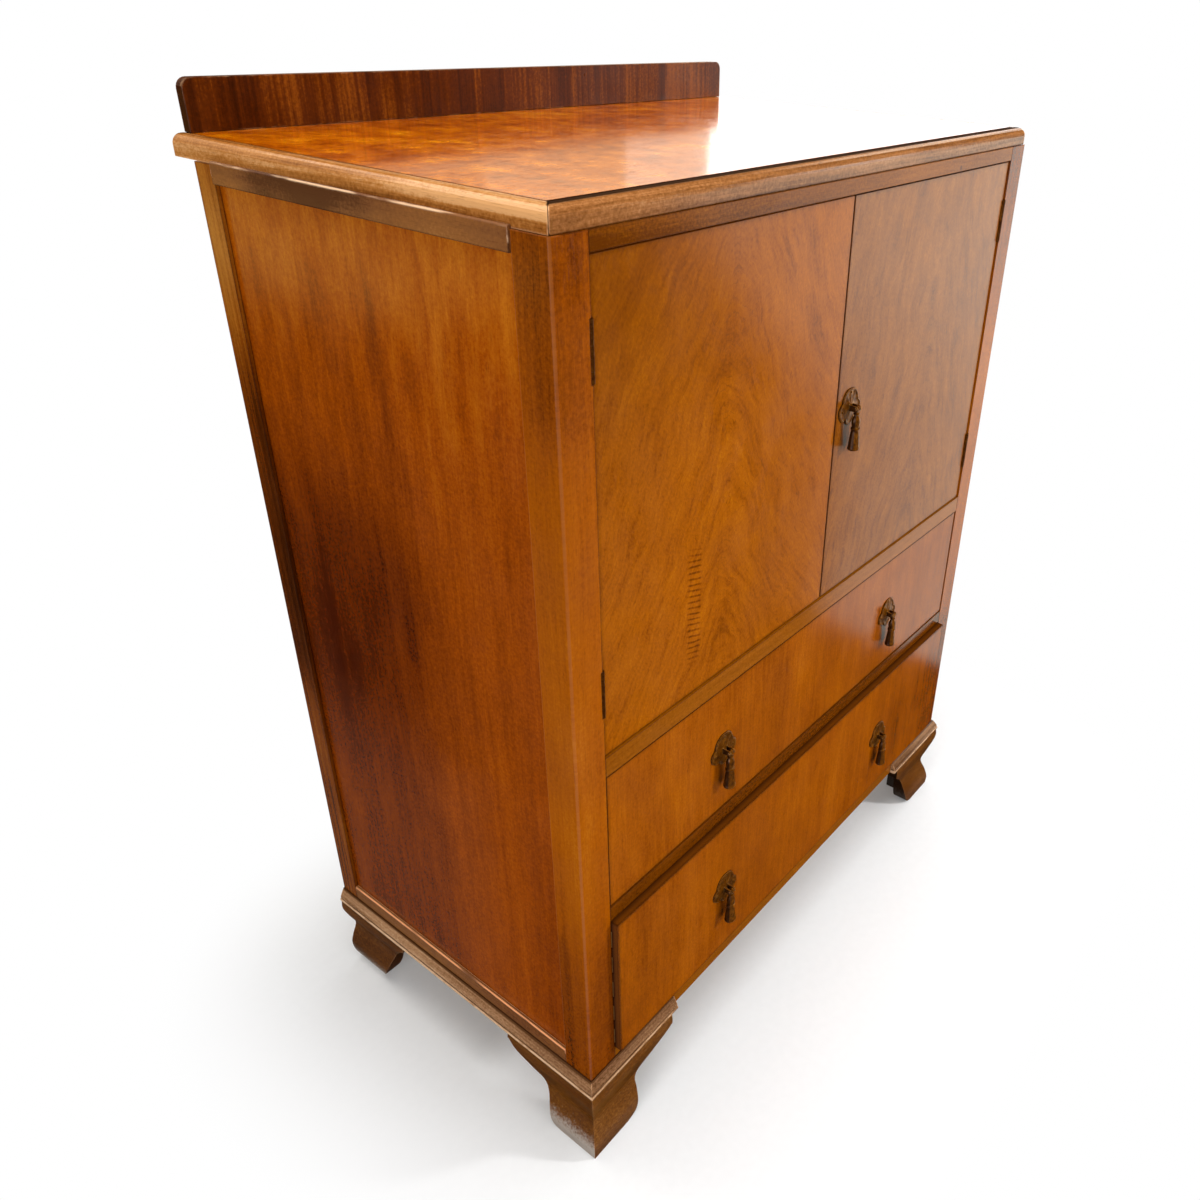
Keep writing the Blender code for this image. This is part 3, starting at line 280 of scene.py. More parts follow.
class Grain:
    """Where a point lies in the wood: along the grain (u), across it (v) and the third way (w).

    field is where the grain's own lines lie across it: v, bent by the figure. With corner, the grain
    turns with a piece at its mitre.
    """

    def __init__(self, shader, along, across, seed, corner=False):
        self.axes = shader.axes()
        ways = [self.axes[along], self.axes[across], self.axes[({"X", "Y", "Z"} - {along, across}).pop()]]
        if corner:
            facing = shader.axes("NewGeometry", "Normal")
            size = {axis: shader.math("ABSOLUTE", facing[axis]) for axis in "XY"}
            beside = shader.math("GREATER_THAN", size["X"], size["Y"])
            before = shader.math("SUBTRACT", 1.0, beside)
            x, y = self.axes["X"], self.axes["Y"]
            ways = [
                shader.total((x, before), (y, beside)),
                self.axes["Z"],
                shader.total((x, beside), (y, before)),
            ]
        ways[1] = shader.math("ADD", ways[1], ways[2])
        moved = [shader.math("ADD", way, seed * shift) for way, shift in zip(ways, SEED_SHIFTS)]
        self.u, self.v, self.w = moved
        self.field = self.v

    @property
    def plain(self):
        """The place without the bend across the grain."""
        return self.u, self.v, self.w

    def wander(self, shader, amount):
        """The slow drift across the grain that real timber has."""
        drift = shader.drift(self.plain, (1.3, 2.5, 1))
        self.field = shader.math("ADD", self.v, shader.times(drift, amount))

    def layer(self, shader, along, across, detail, roughness=0.55):
        """Noise drawn out along the grain, at so many waves per metre along and across it."""
        return shader.cloud((self.u, self.field, self.w), (along, across, across * 0.3), detail, roughness)


class Coat:
    """What lies over a wood: its colour with dirt, wear and painted light and shade laid on it, and where its
    polish is dull or has no gloss at all.
    """

    def __init__(self, shader, colour):
        self.shader = shader
        self.colour = colour
        self.dull = self.matte = 0.0

    def lay(self, amount, tone):
        """Covers the wood with a picture colour, by an amount from 0 to 1."""
        self.colour = self.shader.mix(amount, self.colour, srgb(*tone))

    def dim(self, dull, matte=None):
        """Makes the polish at least this dull and this matte."""
        self.dull = self.shader.math("MAXIMUM", self.dull, dull)
        if matte is not None:
            self.matte = self.shader.math("MAXIMUM", self.matte, matte)


def pattern(shader, grain, tones, options):
    """The wood's own colour and the height of its grain."""
    streak, line, blotch = options.get("weights", (0.5, 0.35, 0.25))
    fine = options.get("fine", 1.0)
    streaks = grain.layer(shader, options.get("streak_run", 0.9), options.get("streaks", 24), 3)
    lines = grain.layer(shader, options.get("line_run", 5), 210 * fine, 3, 0.6)
    fibres = grain.layer(shader, 30, 800 * fine, 2, 0.6)
    blotches = shader.cloud(grain.plain, (7, 9, 1), 3)
    grit = shader.cloud(grain.plain, (330, 330, 40), 2, 0.7)
    spread = (
        (streaks, streak), (lines, line), (blotches, blotch),
        (fibres, 0.10), (grit, options.get("grit", 0.16)),
    )
    tone = shader.total(*[(value, weight * 2) for value, weight in spread])
    tone = shader.math("ADD", tone, 0.5 - sum(weight for value, weight in spread))
    if "extra" in options:
        tone = shader.math("ADD", tone, options["extra"](shader, grain))
    colour = shader.ramp(tone, *zip(TONE_STOPS, [srgb(*shade) for shade in TONES[tones]]))
    pore = shader.step(grain.layer(shader, 75, 1500 * fine, 1, 0.5), 0.60, 0.72)
    colour = shader.mix(shader.times(pore, 0.3), colour, srgb(*options.get("pore", PORE)))
    return colour, shader.total((pore, -0.5), (lines, 0.6), (fibres, 0.25))


def dark_edges(shader, coat, options):
    """Dirt in the hollows, a dark rim that is partly dirt and partly painted shade in the gaps beside the
    edges, a painted soft shadow inside it, and the tone of the end faces.
    """
    if "dirt" in options:
        coat.lay(shader.times(shader.hollows(0.003), options["dirt"]), DIRT)
    # The rim is partly dirt and partly painted shade in the gaps beside an edge.
    if "rim" in options:
        rim = shader.edges(options.get("rim_width", 0.0013))
        amount = shader.times(rim, options["rim"])
        coat.lay(amount, options.get("rim_tone", RIM))
        coat.dim(shader.times(rim, 0.85), amount)
    if "shadowed" in options:
        coat.lay(shader.times(shader.edges(0.009), options["shadowed"]), SOFT_SHADOW)
    # The end faces' own tone, painted lighter on the doors as painted light and darker on the drawers as
    # painted shade.
    if "ends" in options:
        facing = shader.math("ABSOLUTE", shader.axes(output="Normal")["Y"])
        end = shader.step(facing, 0.72, 0.40)
        kept = shader.math("SUBTRACT", 1.0, rim)
        coat.lay(shader.times(end, kept, 0.85), options["ends"])
        coat.dim(shader.times(end, 0.95), shader.times(end, 0.7))


def worn_and_highlit_edges(shader, grain, coat, options):
    """Edges rubbed pale in patches, which on the side rails' lips is partly a painted highlight, and dark
    where inner says that they meet another piece.
    """
    edge = shader.edges(options.get("wear_width", 0.0016), options.get("curved", False))
    low, high = options.get("wear_patches", (0.35, 0.62))
    patch = shader.step(shader.cloud(grain.plain, (12, 60, 60), 3, 0.6), low, high)
    amount = shader.times(edge, patch, options["wear"])
    coat.dim(shader.times(edge, options.get("edge_dull", 0.6)))
    if "inner" in options:
        inner = options["inner"](shader, grain)
        amount = shader.times(amount, shader.math("SUBTRACT", 1.0, inner))
        joint = shader.times(edge, inner)
        coat.lay(shader.times(joint, 0.95), DARK_JOINT)
        coat.dim(joint, joint)
    coat.lay(amount, options["worn"])


def wood(name, along, across, seed, tones, **options):
    """Polished wood. tones names its row in TONES.

    figure bends the grain; weights, streaks, streak_run, line_run, fine, grit, wander and pore set its
    pattern; extra adds to its tone. dirt, rim, shadowed, ends, shade, grime, scuffed,
    worn and hidden lie over it: dirt, wear and dark joints, and painted light and shade where their
    functions say so. shine is the polish's roughness, gloss its refractive index, and relief the grain's
    depth.
    """
    shader = Shader(name)
    grain = Grain(shader, along, across, seed, options.get("corner", False))
    if "figure" in options:
        options["figure"](shader, grain)
    else:
        grain.wander(shader, options.get("wander", 0.03))
    colour, height = pattern(shader, grain, tones, options)
    coat = Coat(shader, colour)
    dark_edges(shader, coat, options)
    # Painted shade, laid over the wood where a shade mask is given.
    if "shade" in options:
        coat.lay(options["shade"](shader, grain), PAINTED_SHADE)
    # Painted shadow beside what stands proud of the surface, such as the handles and the rails.
    if "grime" in options:
        coat.lay(shader.times(shader.hollows(options["grime"], own=False), 0.8), PAINTED_SHADOW_TONE)
    # Pale marks that are partly worn polish and partly a painted reflection of the floor.
    if "scuffed" in options:
        coat.lay(options["scuffed"](shader, grain), SCUFF_AND_SHEEN)
    if "worn" in options:
        worn_and_highlit_edges(shader, grain, coat, options)
    # A near-black matte layer: dark joint lines on the top, and painted shade on the feet's inner faces.
    if "hidden" in options:
        hidden = options["hidden"](shader, grain)
        coat.lay(hidden, JOINT_AND_SHADE)
        coat.dim(hidden, hidden)

    bump = shader.bump(height, options.get("relief", 0.14), 0.0003)
    smudge = shader.cloud(grain.plain, (13, 17, 1), 3, 0.6)
    shine = options.get("shine", 0.17)
    rough = shader.math("MAXIMUM", shader.step(smudge, 0.3, 0.75, shine * 0.8, shine * 1.3), coat.dull)
    values = {"Base_Color": coat.colour, "Roughness": rough, "Normal": bump, "IOR": options.get("gloss", 1.5)}
    if coat.matte:
        values["Specular_IOR_Level"] = shader.math("MULTIPLY_ADD", coat.matte, -0.47, 0.5)
    return shader.finish(**values)


def feather(centre, slope):
    """Figured veneer for a door: the grain rises from both sides towards a line at x = centre."""
    level = math.sqrt(1 - slope * slope)

    def figure(shader, grain):
        height = grain.axes["Z"]
        ways = (grain.axes["X"], height, grain.w)
        sway = shader.drift(ways, (2, 7, 1), 2)
        across = shader.total((grain.axes["X"], 1), (sway, 0.05), (1.0, -centre))
        away = shader.math("SQRT", shader.math("ADD", shader.times(across, across), 0.00012))
        swirl = shader.cloud(ways, (7, 5, 1), 2)
        curl = shader.cloud(ways, (46, 30, 1), 3, 0.6)
        grain.field = shader.total((away, level), (height, slope), (swirl, 0.060), (curl, 0.014))
        grain.u = shader.total((height, level), (away, -slope))
        grain.stem = across
    return figure


def flecks(shader, grain):
    """The short dark dashes and soft mottle of figured veneer."""
    x, z = grain.axes["X"], grain.axes["Z"]
    dash = shader.cloud((grain.u, grain.field, grain.w), (60, 380, 1), 1)
    plume = shader.cloud((grain.u, grain.field, grain.w), (17, 105, 1), 3, 0.62)
    clouds = shader.drift((x, z, grain.w), (24, 20, 1), 5, 0.7)
    thread = shader.cloud((x, z, grain.w), (210, 26, 1), 2, 0.6)
    stem = shader.times(shader.hill(grain.stem, -0.004, 0.004, 0.016), shader.step(thread, 0.36, 0.62))
    return shader.total(
        (shader.step(dash, 0.60, 0.76), -0.10),
        (shader.step(plume, 0.42, 0.70), -0.15),
        (clouds, 0.40),
        (stem, -0.09),
        (1.0, 0.05),
    )


def rippled(shader, grain):
    """The same, and the short column of ripples that one door's veneer has."""
    x, z = grain.axes["X"], grain.axes["Z"]
    place = shader.times(shader.hill(x, -0.253, -0.240, 0.007), shader.hill(z, 0.635, 0.725, 0.03))
    slant = shader.total((z, 950), (x, 300), (shader.cloud((x, z, 0.0), (40, 40, 1), 1), 5))
    wave = shader.step(shader.math("SINE", slant), 0.15, 0.85)
    return shader.total((flecks(shader, grain), 1), (shader.times(place, wave), -0.36))


def painted_corner_shade(shader, grain):
    """Painted shade over the upper left corner of the front."""
    left = shader.step(grain.axes["X"], -0.06, -0.42)
    return shader.times(left, shader.step(grain.axes["Z"], 0.76, 1.04), 0.42)


def side_leaves(shader, grain):
    """The side's veneer: three leaves side by side, a darker zone in the rear one, painted light towards the
    top and painted shade low at the rear.
    """
    y, z = grain.axes["Y"], grain.axes["Z"]
    uneven = shader.drift((y, z, 0.0), (9, 5, 1), 3)
    y_soft = shader.math("ADD", y, shader.times(uneven, 0.10))
    z_soft = shader.math("ADD", z, shader.times(uneven, 0.14))
    dark_zone = shader.times(shader.hill(z_soft, 0.56, 0.66, 0.20), shader.step(y_soft, -0.14, 0.12))
    middle = shader.hill(y, -0.110, -0.068, 0.002)
    front = shader.step(y, -0.108, -0.112)
    # Painted light towards the top of the side.
    top = shader.step(z, 0.82, 1.03)
    flame = shader.times(shader.drift((y, z, 0.0), (46, 9, 1), 4, 0.65), shader.step(z, 0.70, 1.0, 0.35, 1.0))
    own = shader.math("SUBTRACT", grain.field, SIDE_SEED * SEED_SHIFTS[1])
    streaks = shader.math("ADD", shader.hill(own, 0.100, 0.112, 0.012), shader.hill(own, 0.056, 0.064, 0.008))
    painted_low_rear_shade = shader.times(shader.step(z_soft, 0.50, 0.40), shader.step(y_soft, -0.06, 0.02))
    return shader.total(
        (dark_zone, -0.31), (painted_low_rear_shade, -0.12), (middle, 0.06), (front, 0.02), (top, 0.16),
        (streaks, -0.08), (flame, 0.75), (1.0, 0.02),
    )


def metal(name, tones, **options):
    """Old brass: dark in its hollows, bright along its edges, partly rubbed and partly a painted highlight,
    and painted shade on the faces that turn away from the key lamp.
    """
    shader = Shader(name)
    mottle = shader.cloud(shader.axes().values(), (260, 260, 260), 4, 0.6)
    colour = shader.ramp(mottle, *zip((0.3, 0.5, 0.7), [srgb(*shade) for shade in tones]))
    colour = shader.mix(shader.times(shader.hollows(0.0025), 0.85), colour, srgb(*BRASS_DIRT))
    # Bright edges: partly rubbed brass and partly a painted highlight.
    rubbed = shader.times(shader.edges(0.0006, curved=True), options.get("rubbed", 0.55))
    colour = shader.mix(rubbed, colour, srgb(*RUBBED_BRASS_AND_HIGHLIGHT))
    # Painted shade on the faces that turn away from the key lamp.
    if "tarnished" in options:
        facing = shader.axes(output="Normal")
        toward = shader.total((facing["X"], 0.58), (facing["Y"], -0.81))
        away = shader.step(toward, 0.25, -0.30)
        colour = shader.mix(shader.times(away, options["tarnished"]), colour, srgb(*PAINTED_BRASS_SHADE))
    shine = options.get("shine", 0.34)
    rough = shader.step(mottle, 0.3, 0.7, shine * 1.3, shine * 0.8)
    bump = shader.bump(mottle, 0.3, 0.0004)
    return shader.finish(Base_Color=colour, Metallic=options["metallic"], Roughness=rough, Normal=bump)


def dress(material, *names):
    for name in names:
        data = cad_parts[name].data
        data.materials.clear()
        data.materials.append(material)


def paired(ending):
    return [f"{side}_{ending}" for side in SIDES]


def woods():
    front_woods()
    side_woods()
    top_woods()
    foot_woods()
    inside = wood("inner_wood", "X", "Y", 18.8, "pale", shine=0.5, pore=(110, 74, 38), gloss=1.35)
    dress(inside, *inner_boards())


def front_woods():
    door = {
        "weights": (0.12, 0.20, 0.14), "streaks": 60, "streak_run": 9, "line_run": 22, "fine": 0.9,
        "grit": 0.30, "rim": 0.9, "rim_width": 0.0018, "rim_tone": (70, 28, 0), "shadowed": 0.35,
        # The doors' end faces are lighter than their wood, painted light in the dark gap between the doors.
        "ends": (150, 84, 16),
    }
    left = wood("door_veneer_left", "Z", "X", 1.0, "golden", figure=feather(-0.20, 0.46), extra=rippled,
                shade=painted_corner_shade, gloss=1.40, **door)
    right = wood("door_veneer_right", "Z", "X", 2.0, "shaded", figure=feather(0.21, 0.22), extra=flecks,
                 grime=0.010, **door)
    dress(left, "left_door")
    dress(right, "right_door")
    # The drawers' end faces are dark as painted shade, and their dark rim, wider on the lower drawer, is
    # partly dirt and partly painted shade.
    for name, seed, rim in zip(DRAWERS, (3.3, 4.3), (0.0018, 0.0050)):
        veneer = wood(f"{name}_veneer", "Z", "X", seed, "orange", weights=(0.20, 0.24, 0.20), line_run=12,
                      grit=0.28, extra=tone_and_painted_falloff, rim=0.95, rim_width=rim, rim_tone=DARK_JOINT, shadowed=0.3,
                      ends=(92, 46, 0), grime=0.010)
        dress(veneer, f"{name}_front")
    rail = {"weights": (0.24, 0.16, 0.2)}
    plain = wood("rail_wood", "X", "Z", 9.4, "walnut", grit=0.26, rim=0.75, rim_width=0.0014, **rail)
    dress(plain, "middle_rail", "bottom_rail")
    marked = wood("frieze_wood", "X", "Z", 9.6, "walnut", grit=0.28, rim=0.7, extra=frieze, gloss=1.36,
                  **rail)
    dress(marked, "frieze_rail")
    dress(wood("drawer_rail_wood", "X", "Z", 9.9, "brown", grit=0.26, rim=0.8, **rail), "drawer_rail")


def side_woods():
    panel = wood("side_veneer", "Z", "Y", SIDE_SEED, "side", weights=(0.18, 0.10, 0.12), grit=0.22,
                 wander=0.02, extra=side_leaves, rim=0.7, rim_width=0.0014)
    dress(panel, *paired("side_panel"))
    post = wood("post_wood", "Z", "X", 7.7, "amber", weights=(0.30, 0.16, 0.26), grit=0.24, extra=painted_post_light,
                worn=(156, 86, 20), wear=0.6, wear_patches=(0.3, 0.6), edge_dull=1.0,
                inner=past("X", HALF_WIDTH - 0.007, HALF_WIDTH - 0.014, both_sides=True))
    dress(post, *paired("front_post"))
    rear = wood("rear_post_wood", "Z", "Y", 8.9, "rear", extra=dark_middle, rim=0.85, rim_width=0.0016)
    dress(rear, *paired("rear_post"))
    # The side rails' pale top edges are partly wear and partly a painted highlight.
    rail = {"weights": (0.16, 0.10, 0.5), "grit": 0.24, "wear": 0.9, "wear_width": 0.0022}
    top_rail = wood("side_top_rail_wood", "Y", "Z", 10.2, "flank", worn=(240, 200, 160), extra=patched,
                    wear_patches=(0.44, 0.60), inner=past("Z", CARCASS_TOP - 0.007, CARCASS_TOP - 0.011),
                    **rail)
    dress(top_rail, *paired("side_top_rail"))
    low_rail = wood("side_bottom_rail_wood", "Y", "Z", 10.8, "flank", worn=(255, 178, 120),
                    wear_patches=(0.30, 0.50), inner=past("Z", BASE + 0.015, BASE + 0.011), **rail)
    dress(low_rail, *paired("side_bottom_rail"))


def top_woods():
    board = wood("top_veneer", "X", "Y", 12.6, "burl", weights=(0.14, 0.10, 0.5), streaks=14, grit=0.2,
                 extra=mottle, rim=0.97, rim_width=0.004, hidden=front_joint, shine=0.11)
    dress(board, "top_board")
    front = wood("top_moulding_wood", "X", "Z", 13.1, "moulding", dirt=0.95, hidden=flat_top,
                 inner=moulding_joints, **MOULDED)
    dress(front, "top_moulding_front")
    side = wood("top_side_moulding_wood", "X", "Z", 13.7, "painted_lit_moulding", dirt=0.95, extra=painted_nose_highlight,
                inner=past("Z", TOP_PLANE - 0.0016, TOP_PLANE - 0.0008), **MOULDED)
    dress(side, "top_moulding_left", "top_moulding_right")
    gallery = wood("gallery_wood", "Z", "X", 16.5, "dark", weights=(0.40, 0.36, 0.30), streaks=34, grit=0.24,
                   extra=gallery_tone_and_painted_sheen, worn=RUBBED_PALE, wear=0.3, wear_patches=(0.5, 0.7), shine=0.34,
                   gloss=1.36, relief=0.05)
    dress(gallery, "gallery")


def foot_woods():
    plinth = wood("plinth_wood", "Y", "Z", 15.3, "plinth", extra=beaded,
                  inner=past("Z", BASE - 0.0018, BASE - 0.0008), **MOULDED)
    dress(plinth, *paired("plinth_moulding"))
    foot = wood("foot_wood", "Y", "Z", 17.4, "foot", corner=True, curved=True, weights=(0.2, 0.12, 0.4),
                grit=0.5, worn=RUBBED_PALE, wear=0.3, scuffed=scuffs_and_floor_sheen, hidden=painted_inboard_shade, shine=0.4, gloss=1.38,
                relief=0.06)
    dress(foot, *paired("front_foot"), *paired("rear_foot"))


def past(axis, near, far, both_sides=False):
    """A mask that rises from 0 at near to 1 at far along an axis, or along both halves of it."""
    def mask(shader, grain):
        place = grain.axes[axis]
        if both_sides:
            place = shader.math("ABSOLUTE", place)
        return shader.step(place, near, far)
    return mask


def tone_and_painted_falloff(shader, grain):
    """A drawer's veneer has painted shade towards its right end, more so low down, over cloudy tone of its
    own.
    """
    x, z = grain.axes["X"], grain.axes["Z"]
    clouds = shader.drift((x, z, 0.0), (22, 14, 1), 4, 0.65)
    painted_low_end_shade = shader.times(shader.step(x, 0.15, 0.42), shader.step(z, 0.34, 0.28))
    return shader.total((shader.step(x, 0.0, 0.42), -0.12), (painted_low_end_shade, -0.16), (clouds, 0.5))


def painted_post_light(shader, grain):
    """Painted light at half height of a front post, and painted shade towards its ends."""
    return shader.total((shader.hill(grain.axes["Z"], 0.52, 0.80, 0.24), 0.30), (1.0, -0.22))


def front_joint(shader, grain):
    """The dark line where the top's veneer meets the front moulding."""
    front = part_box("top_board")[0].y
    return shader.times(shader.step(grain.axes["Y"], front + 0.0024, front + 0.0012), 0.92)


def flat_top(shader, grain):
    """The same dark line, on the moulding's side of the joint."""
    return shader.times(shader.step(grain.axes["Z"], TOP_PLANE - 0.0011, TOP_PLANE - 0.0002), 0.92)


def moulding_joints(shader, grain):
    """Where the front moulding meets the top above it and the frieze rail below it."""
    z = grain.axes["Z"]
    upper = shader.step(z, TOP_PLANE - 0.0016, TOP_PLANE - 0.0008)
    return shader.math("ADD", upper, shader.step(z, CARCASS_TOP + 0.0022, CARCASS_TOP + 0.0012))


def painted_nose_highlight(shader, grain):
    """A side moulding has a painted highlight along its nose, brightest near the front corner."""
    nose = shader.hill(grain.axes["Z"], 1.0700, 1.0765, 0.004)
    return shader.times(nose, shader.step(grain.axes["Y"], 0.05, -0.20, 0.1, 0.55))


def gallery_tone_and_painted_sheen(shader, grain):
    """The gallery is a little paler left of its middle, and a painted reflection makes it paler towards its
    right end.
    """
    golden = shader.hill(grain.axes["X"], -0.26, -0.12, 0.10)
    return shader.total((shader.step(grain.axes["X"], -0.05, 0.36), 0.15), (golden, 0.14), (1.0, 0.02))


def patched(shader, grain):
    """The rail at the top of the side is darker in its middle."""
    y = grain.axes["Y"]
    stain = shader.drift((y, grain.axes["Z"], 0.0), (14, 40, 1), 3)
    middle = shader.hill(shader.math("ADD", y, shader.times(stain, 0.12)), 0.04, 0.09, 0.08)
    return shader.total((middle, -0.32), (shader.step(y, 0.12, 0.18), 0.1), (1.0, -0.08))


def beaded(shader, grain):
    """The plinth moulding: dark in its quirk, a painted shadow under its top edge, darker on its front faces,
    and a rubbed bead.
    """
    z = grain.axes["Z"]
    worn = shader.cloud((grain.axes["X"], grain.axes["Y"], z), (40, 40, 90), 3, 0.6)
    quirk = shader.hill(z, 0.1242, 0.1258, 0.0006)
    # Painted shadow along the top edge.
    painted_drawer_shadow = shader.step(z, 0.1352, 0.1372)
    bead = shader.times(shader.hill(z, 0.1196, 0.1226, 0.0014), shader.step(worn, 0.32, 0.6))
    front = shader.math("ABSOLUTE", shader.axes("NewGeometry", "Normal")["Y"])
    return shader.total((quirk, -1.1), (painted_drawer_shadow, -0.8), (bead, 0.5), (shader.step(front, 0.3, 0.5), -0.2))


def painted_inboard_shade(shader, grain):
    """Painted shade on the faces of a foot that look towards the middle of the chest."""
    facing = shader.axes("NewGeometry", "Normal")
    outward = shader.times(facing["X"], grain.axes["X"])
    return shader.times(shader.step(outward, -0.02, -0.15), 0.9)


def frieze(shader, grain):
    """The frieze rail has painted shade towards its left end, and a small dark hole."""
    x, z = [shader.math("SUBTRACT", grain.axes[axis], place) for axis, place in zip("XZ", FRIEZE_HOLE)]
    away = shader.math("SQRT", shader.total((shader.times(x, x), 1), (shader.times(z, z), 1)))
    # Painted shade towards the left end.
    left = shader.step(grain.axes["X"], 0.1, -0.38)
    return shader.total((shader.step(away, 0.0030, 0.0012), -0.9), (left, -0.20), (1.0, -0.04))


def dark_middle(shader, grain):
    """The rear post is darkest at half height and palest at its top."""
    z = grain.axes["Z"]
    high, low = shader.step(z, 0.86, 1.0), shader.step(z, 0.5, 0.2)
    return shader.total((shader.hill(z, 0.55, 0.75, 0.22), -0.42), (high, 0.16), (low, -0.14), (1.0, 0.12))


def scuffs_and_floor_sheen(shader, grain):
    """Pale marks on a foot's side faces close to the floor: polish worn off the toe, and a painted reflection
    of the floor.
    """
    low = shader.step(grain.axes["Z"], 0.046, 0.0)
    broken = shader.cloud([grain.axes[axis] for axis in "XYZ"], (260, 260, 260), 5, 0.75)
    sideways = shader.math("ABSOLUTE", shader.axes("NewGeometry", "Normal")["X"])
    bare = shader.step(shader.total((low, 0.62), (broken, 1)), 0.60, 1.02)
    return shader.times(bare, shader.step(sideways, 0.4, 0.8, 0.05, 1.0), 0.75)


def inner_boards():
    parts = ("back", "bottom", "left_side", "right_side")
    boards = [f"{drawer}_{part}" for drawer in DRAWERS for part in parts]
    return ["back_panel", "bottom_board", "cupboard_floor", "cupboard_shelf", "dust_board", *boards]


def mottle(shader, grain):
    """The cloudy figure of the top's veneer."""
    ways = (grain.axes["X"], grain.axes["Y"], 0.0)
    curls = shader.drift(ways, (34, 30, 1), 4, 0.6)
    eyes = shader.step(shader.cloud(ways, (100, 80, 1), 3, 0.6), 0.46, 0.74)
    return shader.total((curls, 1.35), (eyes, -0.26), (1.0, 0.02))


def placed(name, data):
    """A new object in the scene."""
    made = bpy.data.objects.new(name, data)
    bpy.context.scene.collection.objects.link(made)
    return made


def mesh_piece(name, build, material, body, replaces=None):
    """Makes a piece from what build adds to an empty mesh, and lets it ride on a body."""
    shape = bmesh.new()
    build(shape)
    bmesh.ops.remove_doubles(shape, verts=shape.verts, dist=0.000002)
    bmesh.ops.recalc_face_normals(shape, faces=shape.faces)
    mesh = bpy.data.meshes.new(name)
    shape.to_mesh(mesh)
    shape.free()
    mesh.materials.append(material)
    mesh.shade_smooth()
    mesh.set_sharp_from_angle(angle=SHARP_ANGLE)
    piece = placed(name, mesh)
    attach(piece, body)
    if replaces:
        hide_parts(replaces)


def loft(shape, rings, capped=True):
    """Faces between closed rings of points, each with as many points as the next."""
    made = [[shape.verts.new(point) for point in ring] for ring in rings]
    for near, far in zip(made, made[1:]):
        for index, vert in enumerate(near):
            after = (index + 1) % len(near)
            shape.faces.new((vert, near[after], far[after], far[index]))
    if capped:
        shape.faces.new(made[0][::-1])
        shape.faces.new(made[-1])


def turned(shape, origin, axis, profile, steps):
    """A turned solid. profile is (distance along the axis, radius) from one end to the other."""
    axis = Vector(axis).normalized()
    side = axis.orthogonal().normalized()
    up = axis.cross(side)
    rings = []
    for along, radius in profile:
        ring = []
        for number in range(steps):
            angle = 2 * math.pi * number / steps
            offset = side * math.cos(angle) * radius + up * math.sin(angle) * radius
            ring.append(Vector(origin) + axis * along + offset)
        rings.append(ring)
    loft(shape, rings)


def smooth_curve(points, steps):
    """Points on a smooth line through the given ones."""
    result = []
    for number in range(len(points) - 1):
        before, start = Vector(points[max(number - 1, 0)]), Vector(points[number])
        end, after = Vector(points[number + 1]), Vector(points[min(number + 2, len(points) - 1)])
        for part in range(steps):
            t = part / steps
            square = 2 * before - 5 * start + 4 * end - after
            cube = 3 * start - before - 3 * end + after
            result.append(start + 0.5 * ((end - before) * t + (square * t * t + cube * t ** 3)))
    return [*result, Vector(points[-1])]


def shield():
    """The outline of a handle's plate as (x, z) from its centre."""
    w, h = PLATE_WIDTH / 2, PLATE_HEIGHT / 2
    head = smooth_curve([(0, h), (0.31 * w, 0.96 * h), (0.58 * w, 0.74 * h), (0.73 * w, 0.40 * h)], 5)
    lobe = [(0.71 * w, 0.32 * h), (w, 0.02 * h), (0.93 * w, -0.42 * h), (0.62 * w, -0.70 * h)]
    foot = smooth_curve([(0.36 * w, -0.64 * h), (0.30 * w, -0.82 * h), (0.15 * w, -0.96 * h), (0, -h)], 4)
    right = [*head, *smooth_curve(lobe, 5), *foot]
    return [*right, *[Vector((-point.x, point.y)) for point in reversed(right[1:-1])]]


